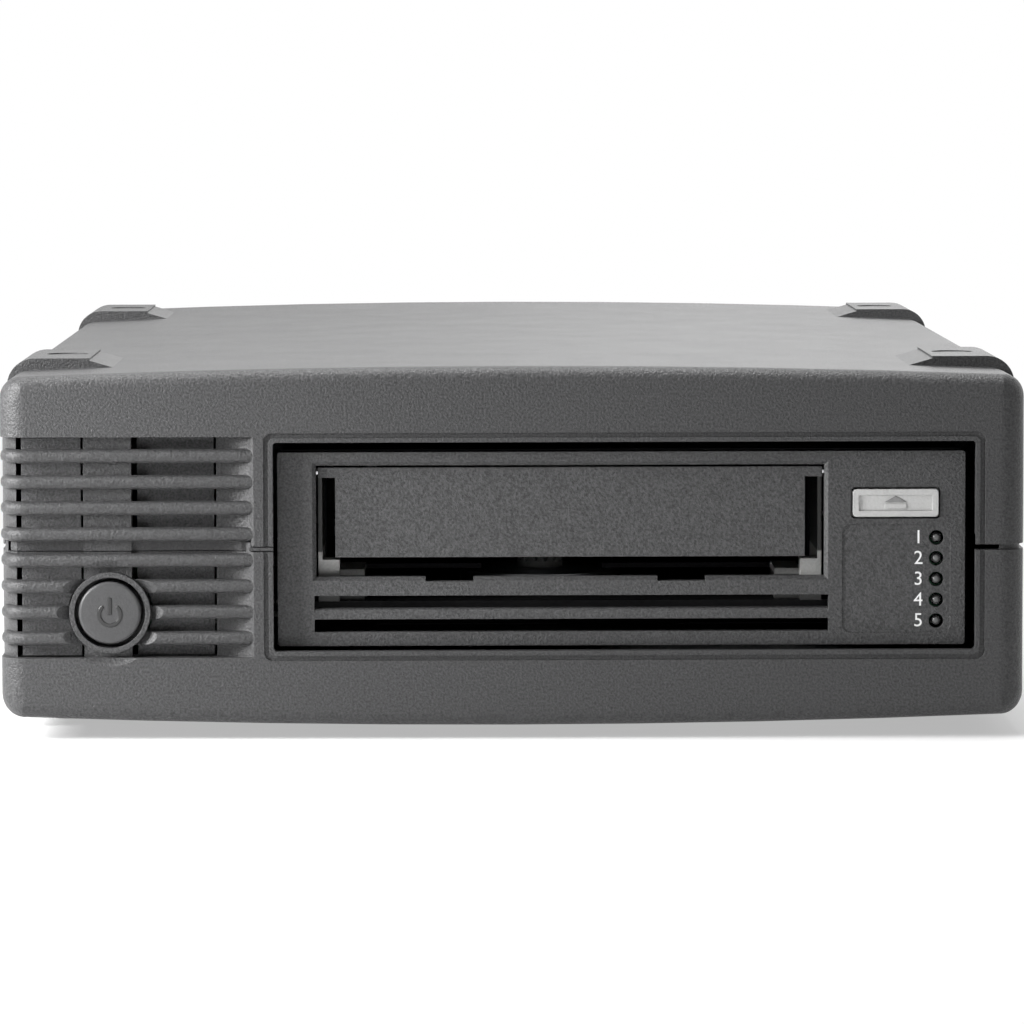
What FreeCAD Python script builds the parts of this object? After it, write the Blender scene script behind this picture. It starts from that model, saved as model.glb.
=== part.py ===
"""A desktop data tape drive: a moulded two-shell case that holds a half-height cartridge drive.

The frame is millimetres, +X to the right, +Y to the back and +Z up. Its origin lies on the surface that
the feet stand on, under the middle of the case. Every size below is a cell of the document's sheet, and
the features are bound to those cells with expressions.
"""

import FreeCAD, Part
import math
import os

import Sketcher

Vector = FreeCAD.Vector
ROLES = {"XY": "XY_Plane", "XZ": "XZ_Plane", "YZ": "YZ_Plane"}
NEAR = 0.02

doc = FreeCAD.newDocument("TapeDrive")
sheet = doc.addObject("Spreadsheet::Sheet", "Sizes")
parts = []


class Size:
    """A number that also carries the sheet expression it comes from, so that features can be bound to it."""

    def __init__(self, text, value):
        self.text = text
        self.value = value

    def __add__(self, other):
        return Size(f"({self.text} + {text_of(other)})", self.value + value_of(other))

    def __sub__(self, other):
        return Size(f"({self.text} - {text_of(other)})", self.value - value_of(other))

    def __mul__(self, other):
        return Size(f"({self.text} * {text_of(other)})", self.value * value_of(other))

    def __truediv__(self, other):
        return Size(f"({self.text} / {text_of(other)})", self.value / value_of(other))

    def __radd__(self, other):
        return Size(text_of(other), other) + self

    def __rsub__(self, other):
        return Size(text_of(other), other) - self

    def __rmul__(self, other):
        return Size(text_of(other), other) * self

    def __neg__(self):
        return self * -1


def text_of(size):
    """The expression of a size, or of a plain number."""
    return size.text if isinstance(size, Size) else f"({size})"


def value_of(size):
    """The number that a size stands for."""
    return size.value if isinstance(size, Size) else size


def root(amount):
    """The square root of a size."""
    return Size(f"sqrt({amount.text})", math.sqrt(amount.value))


def size(alias, value):
    """Write one driving size into the sheet and return it."""
    row = f"A{len(sheet.getUsedCells()) + 1}"
    sheet.set(row, str(value))
    sheet.setAlias(row, alias)
    return Size(f"Sizes.{alias}", value)


def bind(thing, name, amount):
    """Bind a property of a document object to a size."""
    if isinstance(amount, Size):
        thing.setExpression(name, amount.text)


# ---------------------------------------------------------------------------------------------------
# Sketches and PartDesign features


def new_body(label):
    """Start a PartDesign body for one sub-part."""
    body = doc.addObject("PartDesign::Body", label)
    body.Label = label
    return body


def origin_plane(body, plane):
    """The body's own origin plane of that name."""
    return next(item for item in body.Origin.OriginFeatures if item.Role == ROLES[plane])


def arc_through(start, end, bend):
    """The short arc from start to end with radius abs(bend), turning left when bend is positive."""
    chord = end - start
    half = chord.Length / 2
    radius = abs(bend)
    rise = math.sqrt(max(radius * radius - half * half, 0))
    left = Vector(-chord.y, chord.x, 0).normalize()
    turn = 1 if bend > 0 else -1
    centre = (start + end) / 2 + left * rise * turn
    middle = centre - left * radius * turn
    return Part.Arc(start, middle, end)


class Drawing:
    """The lines, arcs and dimensions of one sketch, gathered before they are added to it."""

    def __init__(self):
        self.shapes = []
        self.rules = []
        self.amounts = []

    def rule(self, *where):
        """Add a rule without a size."""
        self.rules.append(Sketcher.Constraint(*where))
        self.amounts.append(None)

    def dimension(self, amount, *where):
        """Add a dimension that follows a size."""
        self.rules.append(Sketcher.Constraint(*where, value_of(amount)))
        self.amounts.append(amount)

    def circle(self, across, up, radius):
        """Add a circle, fully dimensioned."""
        index = len(self.shapes)
        middle_spot = Vector(value_of(across), value_of(up), 0)
        self.shapes.append(Part.Circle(middle_spot, Vector(0, 0, 1), value_of(radius)))
        self.dimension(radius, "Radius", index)
        self.dimension(across, "DistanceX", -1, 1, index, 3)
        self.dimension(up, "DistanceY", -1, 1, index, 3)

    def loop(self, points):
        """Add a closed loop of lines and arcs, with each corner dimensioned from the origin.

        A point is (across, up), or (across, up, bend) where an arc of that signed radius leads to it.
        """
        spots = [Vector(value_of(point[0]), value_of(point[1]), 0) for point in points]
        first = len(self.shapes)
        ends = []
        for step, point in enumerate(points):
            start, end = spots[step - 1], spots[step]
            bend = point[2] if len(point) == 3 else None
            if bend is None:
                self.shapes.append(Part.LineSegment(start, end))
                ends.append((1, 2))
                continue
            forward = value_of(bend) > 0
            self.shapes.append(arc_through(start, end, value_of(bend)))
            self.dimension(bend if forward else -1 * bend, "Radius", first + step)
            ends.append((1, 2) if forward else (2, 1))
        for step, point in enumerate(points):
            following = (step + 1) % len(points)
            here, there = first + step, first + following
            self.rule("Coincident", here, ends[step][1], there, ends[following][0])
            self.dimension(point[0], "DistanceX", -1, 1, here, ends[step][1])
            self.dimension(point[1], "DistanceY", -1, 1, here, ends[step][1])

    def add_to(self, sketch):
        """Put everything into a sketch and bind its dimensions."""
        sketch.addGeometry(self.shapes)
        sketch.addConstraint(self.rules)
        for index, amount in enumerate(self.amounts):
            bind(sketch, f"Constraints[{index}]", amount)


def new_sketch(body, name, plane, level, outlines):
    """Draw outlines in a sketch parallel to one of the body's origin planes, at a level along its axis."""
    sketch = body.newObject("Sketcher::SketchObject", f"{body.Label}_{name}_sketch")
    sketch.AttachmentSupport = (origin_plane(body, plane), [""])
    sketch.MapMode = "FlatFace"
    away = -1 * level if plane == "XZ" else level
    sketch.AttachmentOffset = FreeCAD.Placement(Vector(0, 0, value_of(away)), FreeCAD.Rotation())
    bind(sketch, "AttachmentOffset.Base.z", away)
    drawing = Drawing()
    for outline in outlines:
        if isinstance(outline, tuple):
            drawing.circle(*outline)
        else:
            drawing.loop(outline)
    drawing.add_to(sketch)
    return sketch


def settle(body, feature):
    """Recompute, and stop if a feature failed."""
    doc.recompute()
    if "Invalid" in feature.State or "Error" in feature.State or feature.Shape.isNull():
        raise RuntimeError(f"{feature.Label} failed: {feature.State}")
    return feature


def pad(body, name, plane, low, high, *outlines):
    """Add material between two levels of a plane's axis."""
    feature = body.newObject("PartDesign::Pad", f"{body.Label}_{name}")
    feature.Profile = new_sketch(body, name, plane, low, outlines)
    feature.Length = value_of(high - low)
    bind(feature, "Length", high - low)
    feature.Reversed = plane == "XZ"
    return settle(body, feature)


def pocket(body, name, plane, low, high, *outlines):
    """Take material away between two levels of a plane's axis, and stop if nothing was cut."""
    before = body.Tip.Shape.Volume
    feature = body.newObject("PartDesign::Pocket", f"{body.Label}_{name}")
    feature.Profile = new_sketch(body, name, plane, low, outlines)
    feature.Length = value_of(high - low)
    bind(feature, "Length", high - low)
    feature.Reversed = plane != "XZ"
    settle(body, feature)
    if feature.Shape.Volume > before - 0.001:
        raise RuntimeError(f"{feature.Label} cut nothing")
    return feature


def turned(body, name, outline, kind="PartDesign::Revolution"):
    """Turn an outline of the body's XZ plane about the body's Z axis."""
    feature = body.newObject(kind, f"{body.Label}_{name}")
    feature.Profile = new_sketch(body, name, "XZ", 0, [outline])
    feature.ReferenceAxis = (feature.Profile[0], ["V_Axis"])
    feature.Angle = 360
    return settle(body, feature)


def polar(body, name, feature, count):
    """Repeat a feature round the middle of its own sketch."""
    pattern = body.newObject("PartDesign::PolarPattern", f"{body.Label}_{name}")
    pattern.Originals = [feature]
    pattern.Axis = (feature.Profile[0], ["N_Axis"])
    pattern.Angle = 360
    pattern.Occurrences = count
    body.Tip = pattern
    return settle(body, pattern)


def edge_names(shape, along=None, **planes):
    """Names of the edges that lie in the given planes (x=, y=, z=) and run along an axis, if one is named."""
    names = []
    for index, edge in enumerate(shape.Edges, 1):
        box = edge.BoundBox
        lows = {"x": box.XMin, "y": box.YMin, "z": box.ZMin}
        highs = {"x": box.XMax, "y": box.YMax, "z": box.ZMax}
        flat = all(
            max(abs(lows[axis] - value_of(level)), abs(highs[axis] - value_of(level))) < NEAR
            for axis, level in planes.items()
        )
        straight = along is None or all(
            highs[axis] - lows[axis] < NEAR for axis in "xyz" if axis != along
        )
        if flat and straight and (along is None or highs[along] - lows[along] > NEAR):
            names.append(f"Edge{index}")
    return names


def round_edges(body, name, radius, names, kind="PartDesign::Fillet"):
    """Round or chamfer the named edges of the body's tip."""
    if not names:
        raise RuntimeError(f"{body.Label}_{name} found no edges")
    base = body.Tip
    feature = body.newObject(kind, f"{body.Label}_{name}")
    feature.Base = (base, names)
    what = "Radius" if kind.endswith("Fillet") else "Size"
    setattr(feature, what, value_of(radius))
    bind(feature, what, radius)
    return settle(body, feature)


def finish_part(thing, label=None):
    """Name a finished sub-part and keep it for export."""
    if label:
        thing.Label = label
    parts.append(thing)
    return thing


def box_outline(left, right, low, high, radius=None):
    """A rectangle, with rounded corners where a radius is given."""
    if radius is None:
        return [(left, low), (right, low), (right, high), (left, high)]
    return [
        (left + radius, low, radius),
        (right - radius, low),
        (right, low + radius, radius),
        (right, high - radius),
        (right - radius, high, radius),
        (left + radius, high),
        (left, high - radius, radius),
        (left, low + radius),
    ]


# ---------------------------------------------------------------------------------------------------
# Part primitives and booleans


TURNS = {
    "x": FreeCAD.Rotation(Vector(0, 1, 0), 90),
    "y": FreeCAD.Rotation(Vector(1, 0, 0), -90),
    "z": FreeCAD.Rotation(),
}


def place(thing, spot, turn=TURNS["z"]):
    """Put an object at a spot of the frame, bound to its sizes."""
    thing.Placement = FreeCAD.Placement(Vector(*(value_of(level) for level in spot)), turn)
    for axis, level in zip("xyz", spot):
        bind(thing, f"Placement.Base.{axis}", level)
    return thing


def block(name, x, y, z):
    """A box between two levels along each axis."""
    thing = doc.addObject("Part::Box", name)
    for what, span in (("Length", x), ("Width", y), ("Height", z)):
        setattr(thing, what, value_of(span[1] - span[0]))
        bind(thing, what, span[1] - span[0])
    return place(thing, (x[0], y[0], z[0]))


def rod(name, axis, spot, radius, length):
    """A cylinder that starts at a spot and runs along one axis."""
    thing = doc.addObject("Part::Cylinder", name)
    thing.Radius, thing.Height = value_of(radius), value_of(length)
    bind(thing, "Radius", radius)
    bind(thing, "Height", length)
    return place(thing, spot, TURNS[axis])


def cut(name, base, *tools):
    """Take tools away from a base, one after another."""
    for tool in tools:
        thing = doc.addObject("Part::Cut", name if tool is tools[-1] else f"{name}_step")
        thing.Base, thing.Tool = base, tool
        base = thing
    return base


def fuse(name, *things):
    """Join overlapping objects into one."""
    thing = doc.addObject("Part::MultiFuse", name)
    thing.Shapes = list(things)
    return thing


def group(name, *things):
    """Keep separate solids together in one sub-part."""
    thing = doc.addObject("Part::Compound", name)
    thing.Links = list(things)
    return thing


def ring(name, axis, spot, outer, inner, length):
    """A round tube."""
    return cut(name, rod(f"{name}_outside", axis, spot, outer, length),
               rod(f"{name}_bore", axis, spot, inner, length))


# ---------------------------------------------------------------------------------------------------
# Driving sizes

# The case
case_width = size("case_width", 220)
case_depth = size("case_depth", 312)
shell_height = size("shell_height", 77.4)
crown = size("crown", 2.2)
foot_drop = size("foot_drop", 2.8)
wall = size("wall", 2.5)
edge_radius = size("edge_radius", 5)
face_radius = size("face_radius", 3)
corner_radius = size("corner_radius", 5.5)
fit = size("fit", 0.3)

# The seam between the shells
seam_rise = size("seam_rise", 0.2)
seam_band = size("seam_band", 1.2)
seam_gap = size("seam_gap", 0.25)
tongue_set_back = size("tongue_set_back", 0.8)
tongue_thickness = size("tongue_thickness", 0.8)
tongue_lap = size("tongue_lap", 2)
tongue_fit = size("tongue_fit", 0.15)
finger_slot = size("finger_slot", 5.1)

# Pads and feet
pad_end = size("pad_end", 25)
pad_length = size("pad_length", 38)
pad_inner = size("pad_inner", 92)
pad_rise = size("pad_rise", 0.6)
pad_step = size("pad_step", 5.5)
pad_step_drop = size("pad_step_drop", 0.5)
pad_step_end = size("pad_step_end", 1.5)
pad_radius = size("pad_radius", 6)
pad_sink = size("pad_sink", 7)
dimple_radius = size("dimple_radius", 4.6)
dimple_depth = size("dimple_depth", 0.25)
foot_radius = size("foot_radius", 4.4)
foot_seat = size("foot_seat", 0.8)
foot_middle = size("foot_middle", 98)

# The bay opening
bay_middle = size("bay_middle", 24)
bay_width = size("bay_width", 150.6)
bay_height = size("bay_height", 44.9)
bay_radius = size("bay_radius", 0.8)
rim_width = size("rim_width", 1)
rim_groove = size("rim_groove", 1)
rim_groove_depth = size("rim_groove_depth", 0.5)

# The grille
rib_pitch = size("rib_pitch", 5.6)
rib_thickness = size("rib_thickness", 2.95)
rib_depth = size("rib_depth", 2.6)
rib_set_back = size("rib_set_back", 0.1)
rib_side_set_back = size("rib_side_set_back", 0.05)
rib_flat = size("rib_flat", 0.08)
ribs_each = 4
grille_right = size("grille_right", 55.5)
ramp_length = size("ramp_length", 6.2)
window_right = size("window_right", 63.5)
grille_depth = size("grille_depth", 3)
grille_wrap = size("grille_wrap", 13)
pillar_edge = size("pillar_edge", 106.4)
floor_radius = size("floor_radius", 14)
post_left = size("post_left", 92)
post_right = size("post_right", 81.7)
post_depth = size("post_depth", 2.2)
grille_backing = size("grille_backing", 2.4)
baffle_left_depth = size("baffle_left_depth", 3.1)
baffle_right_depth = size("baffle_right_depth", 4.6)
baffle_sheet = size("baffle_sheet", 1.2)
baffle_gap = size("baffle_gap", 1.1)

# The power button
power_x = size("power_x", 86.4)
power_cap_radius = size("power_cap_radius", 6.7)
power_bore_radius = size("power_bore_radius", 7.6)
power_collar_radius = size("power_collar_radius", 8.7)
power_cone_radius = size("power_cone_radius", 11.5)
power_travel = size("power_travel", 1.5)
power_set_back = size("power_set_back", 0.4)
power_collar_length = size("power_collar_length", 6)

# Screws that close the case
boss_x = size("boss_x", 102.3)
boss_y = size("boss_y", 80)
boss_radius = size("boss_radius", 5)
case_screw_radius = size("case_screw_radius", 1.5)
case_screw_head = size("case_screw_head", 3)
case_screw_head_height = size("case_screw_head_height", 2)
case_screw_length = size("case_screw_length", 20)
case_screw_seat = size("case_screw_seat", 12)
screw_fit = size("screw_fit", 0.2)

# The back
panel_recess = size("panel_recess", 8)
panel_sheet = size("panel_sheet", 1.2)
panel_ledge = size("panel_ledge", 3)

half_width = case_width / 2
half_depth = case_depth / 2
front = -half_depth
middle = foot_drop + shell_height / 2
crown_radius = (half_width * half_width + crown * crown) / (crown * 2)
panel_face = half_depth - panel_recess
bay_left = bay_middle - bay_width / 2
bay_right = bay_middle + bay_width / 2
bay_low = middle - bay_height / 2
bay_high = middle + bay_height / 2
ramp_radius = (ramp_length * ramp_length + grille_depth * grille_depth) / (grille_depth * 2)
grille_half = rib_pitch * ribs_each + (rib_pitch - rib_thickness) / 2
seam_high = middle + seam_rise
seam_low = seam_high - seam_band
power_z = middle - rib_pitch * 2.5


# ---------------------------------------------------------------------------------------------------
# The two moulded shells


def level(up, height):
    """A height above the middle of the case for the top shell, or below it for the bottom shell."""
    return middle + height * up


def half_section(up, edge, inset):
    """Half of the case's crowned section, from the seam outwards, a given inset inside its outer face."""
    side = half_width - inset
    shoulder = level(up, shell_height / 2 - crown - inset)
    return [(-side, edge), (side, edge), (side, shoulder), (-side, shoulder, (crown_radius - inset) * up)]


def add_pad(shell, up, side, near, name):
    """Add one raised corner pad, with a rounded outer edge and a wedge on its inner side."""
    rise = pad_rise if up > 0 else 0 * pad_rise
    apex = level(up, shell_height / 2 + rise)
    root = level(up, shell_height / 2 - pad_sink)
    bend = pad_radius * up * side
    outline = [
        ((pad_inner - pad_step) * side, root),
        (half_width * side, root),
        (half_width * side, level(up, shell_height / 2 + rise - pad_radius)),
        ((half_width - pad_radius) * side, apex, bend),
        (pad_inner * side, apex),
        (pad_inner * side, level(up, shell_height / 2 + rise - pad_step_drop)),
        ((pad_inner - pad_step) * side, level(up, shell_height / 2 - pad_step_end)),
    ]
    pad(shell, name, "XZ", near, near + pad_length, outline)


def add_pads(shell, up):
    """Add the four corner pads."""
    for side in (-1, 1):
        for end, near in (("front", front + pad_end), ("back", half_depth - pad_end - pad_length)):
            hand = "left" if side < 0 else "right"
            add_pad(shell, up, side, near, f"{end}_{hand}_pad")


def foot_spots():
    """The middle of each pad, seen from above."""
    reach = half_depth - pad_end - pad_length / 2
    return [(foot_middle * side, reach * end) for side in (-1, 1) for end in (-1, 1)]


def boss_spots():
    """Where the four case screws stand."""
    return [(boss_x * side, boss_y * end) for side in (-1, 1) for end in (-1, 1)]


def grille_floor():
    """The plan of the grille's recess: a ramp, the floor with its raised post, and the wrapped corner."""
    outside = front - face_radius
    return [
        (-grille_right, front, -ramp_radius),
        (-grille_right, outside),
        (-half_width - fit, outside),
        (-half_width - fit, front + grille_wrap),
        (-half_width, front + grille_wrap),
        (-pillar_edge, front + grille_depth, floor_radius),
        (-post_left, front + grille_depth),
        (-post_left, front + post_depth),
        (-post_right, front + post_depth),
        (-post_right, front + grille_depth),
        (-grille_right - ramp_length, front + grille_depth),
    ]


def rib_plan():
    """The plan of one rib, which follows the face, wraps the corner and dies away on the ramp."""
    face = front + rib_set_back
    inner = front + rib_depth
    side = -half_width + rib_side_set_back
    return [
        (-grille_right, face),
        (-grille_right, inner),
        (-pillar_edge, inner),
        (-pillar_edge + rib_set_back, front + grille_wrap),
        (side, front + grille_wrap),
        (side, face + corner_radius),
        (side + corner_radius, face, corner_radius),
    ]


def span(up, near, far):
    """The two levels at these heights from the middle, lowest first."""
    return (level(up, near), level(up, far)) if up > 0 else (level(up, far), level(up, near))


def rounded_blank(label, up, edge):
    """The crowned block of one shell with its long edges, front corners and front face edge rounded."""
    blank = new_body(f"{label}_blank")
    pad(blank, "block", "XZ", front, half_depth, half_section(up, edge, 0))
    shoulder = level(up, shell_height / 2 - crown)
    shape = blank.Tip.Shape
    long_edges = []
    for side in (-half_width, half_width):
        long_edges += edge_names(shape, "y", x=side, z=shoulder)
    round_edges(blank, "long_edges", edge_radius, long_edges)
    rounded = doc.addObject("Part::Fillet", f"{label}_rounded")
    rounded.Base = blank
    rounded.Edges = face_loop(blank.Tip.Shape)
    doc.recompute()
    return rounded


def face_loop(shape):
    """The edges round the front face, each with its radii read from the right of the face to the left."""
    loop = []
    for index, line in enumerate(shape.Edges, 1):
        box = line.BoundBox
        if box.YMax > front.value + NEAR or box.ZLength < NEAR:
            continue
        ends = [line.valueAt(line.FirstParameter), line.valueAt(line.LastParameter)]
        ends.sort(key=lambda end: -end.x)
        on_side = [abs(abs(end.x) - half_width.value) < NEAR for end in ends]
        radii = [corner_radius.value if side else face_radius.value for side in on_side]
        loop.append((index, radii[0], radii[1]))
    return loop


def u_plan(inset, thickness, end):
    """The plan of a strip that follows the sides and the front at an inset, open to the back."""
    outer, inner = half_width - inset, half_width - inset - thickness
    near, far = front + inset, front + inset + thickness
    bend, tight = corner_radius - inset, corner_radius - inset - thickness
    return [
        (outer, end),
        (outer, near + bend),
        (outer - bend, near, -bend),
        (bend - outer, near),
        (-outer, near + bend, -bend),
        (-outer, end),
        (-inner, end),
        (-inner, far + tight),
        (tight - inner, far, tight),
        (inner - tight, far),
        (inner, far + tight, tight),
        (inner, end),
    ]


def cut_grille(shell, up):
    """Cut the grille's recess, and its two windows beyond the rib next to the seam."""
    low, high = middle - grille_half, middle + grille_half
    pocket(shell, "grille_recess", "XY", low, high, grille_floor())
    inside = front + wall + grille_backing + fit
    windows = (
        ("outer_window", -pillar_edge, -post_left),
        ("inner_window", -post_right, -window_right),
    )
    for name, left, right in windows:
        pocket(shell, name, "XY", *span(up, rib_pitch / 2, grille_half), box_outline(left, right, front + post_depth, inside))


def add_backing(shell, up, edge):
    """Thicken the front wall behind the grille, and fill the corner that the ribs wrap."""
    inner_side = -half_width + wall - fit
    far = grille_half + wall
    low, high = (edge, level(up, far)) if up > 0 else (level(up, far), edge)
    near, deep = front + post_depth, front + wall + grille_backing
    pad(shell, "grille_backing", "XY", low, high, box_outline(inner_side, -grille_right + wall, near, deep))
    pillar = box_outline(inner_side, -pillar_edge, near, front + grille_wrap + wall)
    pad(shell, "grille_pillar", "XY", low, high, pillar)


def new_ribs(label, up):
    """Make the grille's half-round ribs for one shell."""
    ribs = []
    for count in range(ribs_each):
        height = level(up, rib_pitch * (count + 0.5))
        rib = new_body(f"{label}_rib_{count + 1}")
        pad(rib, "bar", "XY", height - rib_thickness / 2, height + rib_thickness / 2, rib_plan())
        shape = rib.Tip.Shape
        names = []
        for face in (height - rib_thickness / 2, height + rib_thickness / 2):
            names += [name for name in edge_names(shape, z=face) if on_outline(shape.getElement(name))]
        round_edges(rib, "rounding", rib_thickness / 2 - rib_flat, names)
        ribs.append(rib)
    return ribs


def on_outline(edge):
    """Whether an edge of a rib lies on its outer outline."""
    box = edge.BoundBox
    flush = front + rib_set_back
    side = -half_width + rib_side_set_back
    inside = box.YMax < (front + rib_depth).value - NEAR or box.XMax < side.value + corner_radius.value + NEAR
    touches = abs(box.YMin - flush.value) < NEAR or abs(box.XMin - side.value) < NEAR
    straight = abs(box.XMax - box.XMin) < NEAR or abs(box.YMax - box.YMin) < NEAR
    at_end = straight and abs(box.XMin + grille_right.value) < NEAR
    at_wrap = straight and abs(box.YMin - (front + grille_wrap).value) < NEAR
    return inside and touches and not at_end and not at_wrap


def new_shell(label, up, edge, inner_edge):
    """Make one shell: its pads, cavity, bosses, bay opening with a rim, and grille."""
    shell = new_body(label)
    shell.BaseFeature = rounded_blank(label, up, edge)
    doc.recompute()
    add_pads(shell, up)
    pocket(shell, "cavity", "XZ", front + wall, half_depth + fit, half_section(up, edge - up, wall))
    panel_back = panel_face - panel_sheet
    ledge = (panel_back - panel_ledge, panel_back)
    pad(shell, "panel_ledge", "XZ", *ledge, half_section(up, edge, wall - fit))
    pocket(shell, "panel_way", "XZ", ledge[0] - fit, ledge[1] + fit, half_section(up, edge - up, wall + panel_ledge))
    return shell


def open_front(shell, up, inner_edge):
    """Cut the grille, the bay opening and the groove round its rim."""
    add_backing(shell, up, inner_edge)
    cut_grille(shell, up)
    opening = box_outline(bay_left, bay_right, bay_low, bay_high, bay_radius)
    pocket(shell, "bay_opening", "XZ", front - fit, front + wall + grille_backing + fit, opening)
    rim = rim_width
    groove = rim_width + rim_groove
    outlines = [
        box_outline(bay_left - out, bay_right + out, bay_low - out, bay_high + out, bay_radius + out / 2)
        for out in (groove, rim)
    ]
    pocket(shell, "rim_groove", "XZ", front, front + rim_groove_depth, *outlines)


def add_bosses(shell, up):
    """Add the four screw bosses."""
    low, high = span(up, 0, shell_height / 2 - wall - fit)
    for number, (x, y) in enumerate(boss_spots(), 1):
        pad(shell, f"boss_{number}", "XY", low, high, (x, y, boss_radius))


def make_top_shell():
    """The upper shell, rebated along its edge for the lower shell's tongue."""
    shell = new_shell("top_shell_body", 1, seam_high, seam_low + tongue_fit)
    lip = tongue_set_back - tongue_fit
    rebate = u_plan(lip, wall - lip + tongue_fit, half_depth + fit)
    pocket(shell, "rebate", "XY", seam_high - fit, seam_high + tongue_lap + tongue_fit, rebate)
    add_bosses(shell, 1)
    for number, (x, y) in enumerate(boss_spots(), 1):
        depth = case_screw_length - case_screw_seat + 2
        pocket(shell, f"pilot_{number}", "XY", middle - fit, middle + depth, (x, y, case_screw_radius + screw_fit))
    for number, (x, y) in enumerate(foot_spots(), 1):
        apex = level(1, shell_height / 2 + pad_rise)
        pocket(shell, f"dimple_{number}", "XY", apex - dimple_depth, apex + fit, (x, y, dimple_radius))
    open_front(shell, 1, seam_low + tongue_fit)
    finish_part(fuse("top_shell", shell, *new_ribs("top", 1)))


def make_bottom_shell():
    """The lower shell, with the tongue, the power button's collar and the posts for what it carries."""
    shell = new_shell("bottom_shell_body", -1, seam_low, seam_low)
    tongue = u_plan(tongue_set_back, tongue_thickness, half_depth - fit)
    pad(shell, "tongue", "XY", seam_low - wall, seam_high + tongue_lap, tongue)
    rib_foot = middle + rib_pitch / 2 - rib_thickness / 2
    relief = box_outline(-half_width, fit - grille_right, front, front + grille_wrap + fit)
    pocket(shell, "rib_relief", "XY", rib_foot - fit, seam_high + tongue_lap + fit, relief)
    add_bosses(shell, -1)
    for number, (x, y) in enumerate(boss_spots(), 1):
        seat = middle - case_screw_seat
        pocket(shell, f"screw_hole_{number}", "XY", -fit, middle + fit, (x, y, case_screw_radius + screw_fit))
        pocket(shell, f"screw_recess_{number}", "XY", -fit, seat, (x, y, case_screw_head + screw_fit))
    for number, (x, y) in enumerate(foot_spots(), 1):
        pocket(shell, f"foot_seat_{number}", "XY", foot_drop - fit, foot_drop + foot_seat, (x, y, foot_radius + fit))
    add_floor_posts(shell)
    open_front(shell, -1, seam_low)
    band = box_outline(-grille_right - 1, bay_left, front + seam_gap, front + tongue_set_back + fit / 3)
    pad(shell, "seam_band", "XY", seam_low + seam_gap, seam_high - seam_gap, band)
    slot = box_outline(bay_right - fit, bay_right + finger_slot, seam_low, seam_high + tongue_lap + fit)
    pocket(shell, "finger_slot", "XZ", front - fit, front + wall + fit, slot)
    ribs = fuse("ribbed_shell", shell, *new_ribs("bottom", -1))
    collar = rod("power_collar", "y", (-power_x, front + power_set_back, power_z), power_collar_radius, power_collar_length)
    cone = doc.addObject("Part::Cone", "power_dish")
    for what, amount in (("Radius1", power_cone_radius), ("Radius2", power_collar_radius), ("Height", post_depth)):
        setattr(cone, what, value_of(amount))
        bind(cone, what, amount)
    place(cone, (-power_x, front, power_z), TURNS["y"])
    dished = cut("dished_shell", ribs, cone)
    bore = rod("power_bore", "y", (-power_x, front - 1, power_z), power_bore_radius, power_collar_length + 10)
    finish_part(cut("bottom_shell", fuse("collared_shell", dished, collar), bore))


# ---------------------------------------------------------------------------------------------------
# What closes, carries and vents the case

# Back panel
panel_fit = size("panel_fit", 0.3)
panel_screw_x = size("panel_screw_x", 100)
panel_screw_z = size("panel_screw_z", 26)
panel_screw_radius = size("panel_screw_radius", 1.25)
panel_screw_head = size("panel_screw_head", 2.4)
panel_screw_length = size("panel_screw_length", 6)
panel_boss_radius = size("panel_boss_radius", 3.4)
panel_boss_length = size("panel_boss_length", 8)
vent_slot_width = size("vent_slot_width", 2.6)
vent_slot_pitch = size("vent_slot_pitch", 5.6)

# Fan
fan_x = size("fan_x", 56)
fan_size = size("fan_size", 60)
fan_depth = size("fan_depth", 25)
fan_bore = size("fan_bore", 28.6)
fan_hole_pitch = size("fan_hole_pitch", 50)
fan_hole_radius = size("fan_hole_radius", 2.2)
fan_hub = size("fan_hub", 14)
fan_tip_gap = size("fan_tip_gap", 0.8)
fan_blade = size("fan_blade", 1.6)
fan_blade_chord = size("fan_blade_chord", 13)
fan_blade_rise = size("fan_blade_rise", 9)
fan_tip_room = size("fan_tip_room", 3.4)
fan_shaft = size("fan_shaft", 1.5)
fan_seat = size("fan_seat", 16)
fan_strut = size("fan_strut", 3)
fan_corner = size("fan_corner", 3)
fan_blades = 7
running = size("running", 0.05)

# Mains inlet
inlet_x = size("inlet_x", 80)
inlet_z = size("inlet_z", 44)
inlet_width = size("inlet_width", 27)
inlet_height = size("inlet_height", 20)
inlet_wall = size("inlet_wall", 1.6)
inlet_depth = size("inlet_depth", 20)
inlet_flange = size("inlet_flange", 2)
inlet_flange_width = size("inlet_flange_width", 31)
inlet_flange_height = size("inlet_flange_height", 24)
inlet_socket = size("inlet_socket", 15)
blade_width = size("blade_width", 2)
blade_height = size("blade_height", 4)
blade_length = size("blade_length", 11)

# Data receptacles
port_middle = size("port_middle", 16)
port_pitch = size("port_pitch", 28)
port_width = size("port_width", 20.4)
port_height = size("port_height", 9.6)
port_wall = size("port_wall", 0.8)
port_depth = size("port_depth", 24)
port_proud = size("port_proud", 3)
port_tongue = size("port_tongue", 1.6)
port_z = size("port_z", 22)
board_sheet = size("board_sheet", 1.6)

inlet_face = panel_face + inlet_flange
fan_front = panel_face - panel_sheet - fan_depth
inside_floor = foot_drop + wall


def fan_hole_spots():
    """The four fan screw holes, as seen on the back panel."""
    reach = fan_hole_pitch / 2
    return [(fan_x + reach * side, middle + reach * end) for side in (-1, 1) for end in (-1, 1)]


def panel_screw_spots():
    """The four screws that hold the back panel."""
    return [(panel_screw_x * side, middle + panel_screw_z * end) for side in (-1, 1) for end in (-1, 1)]


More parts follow.
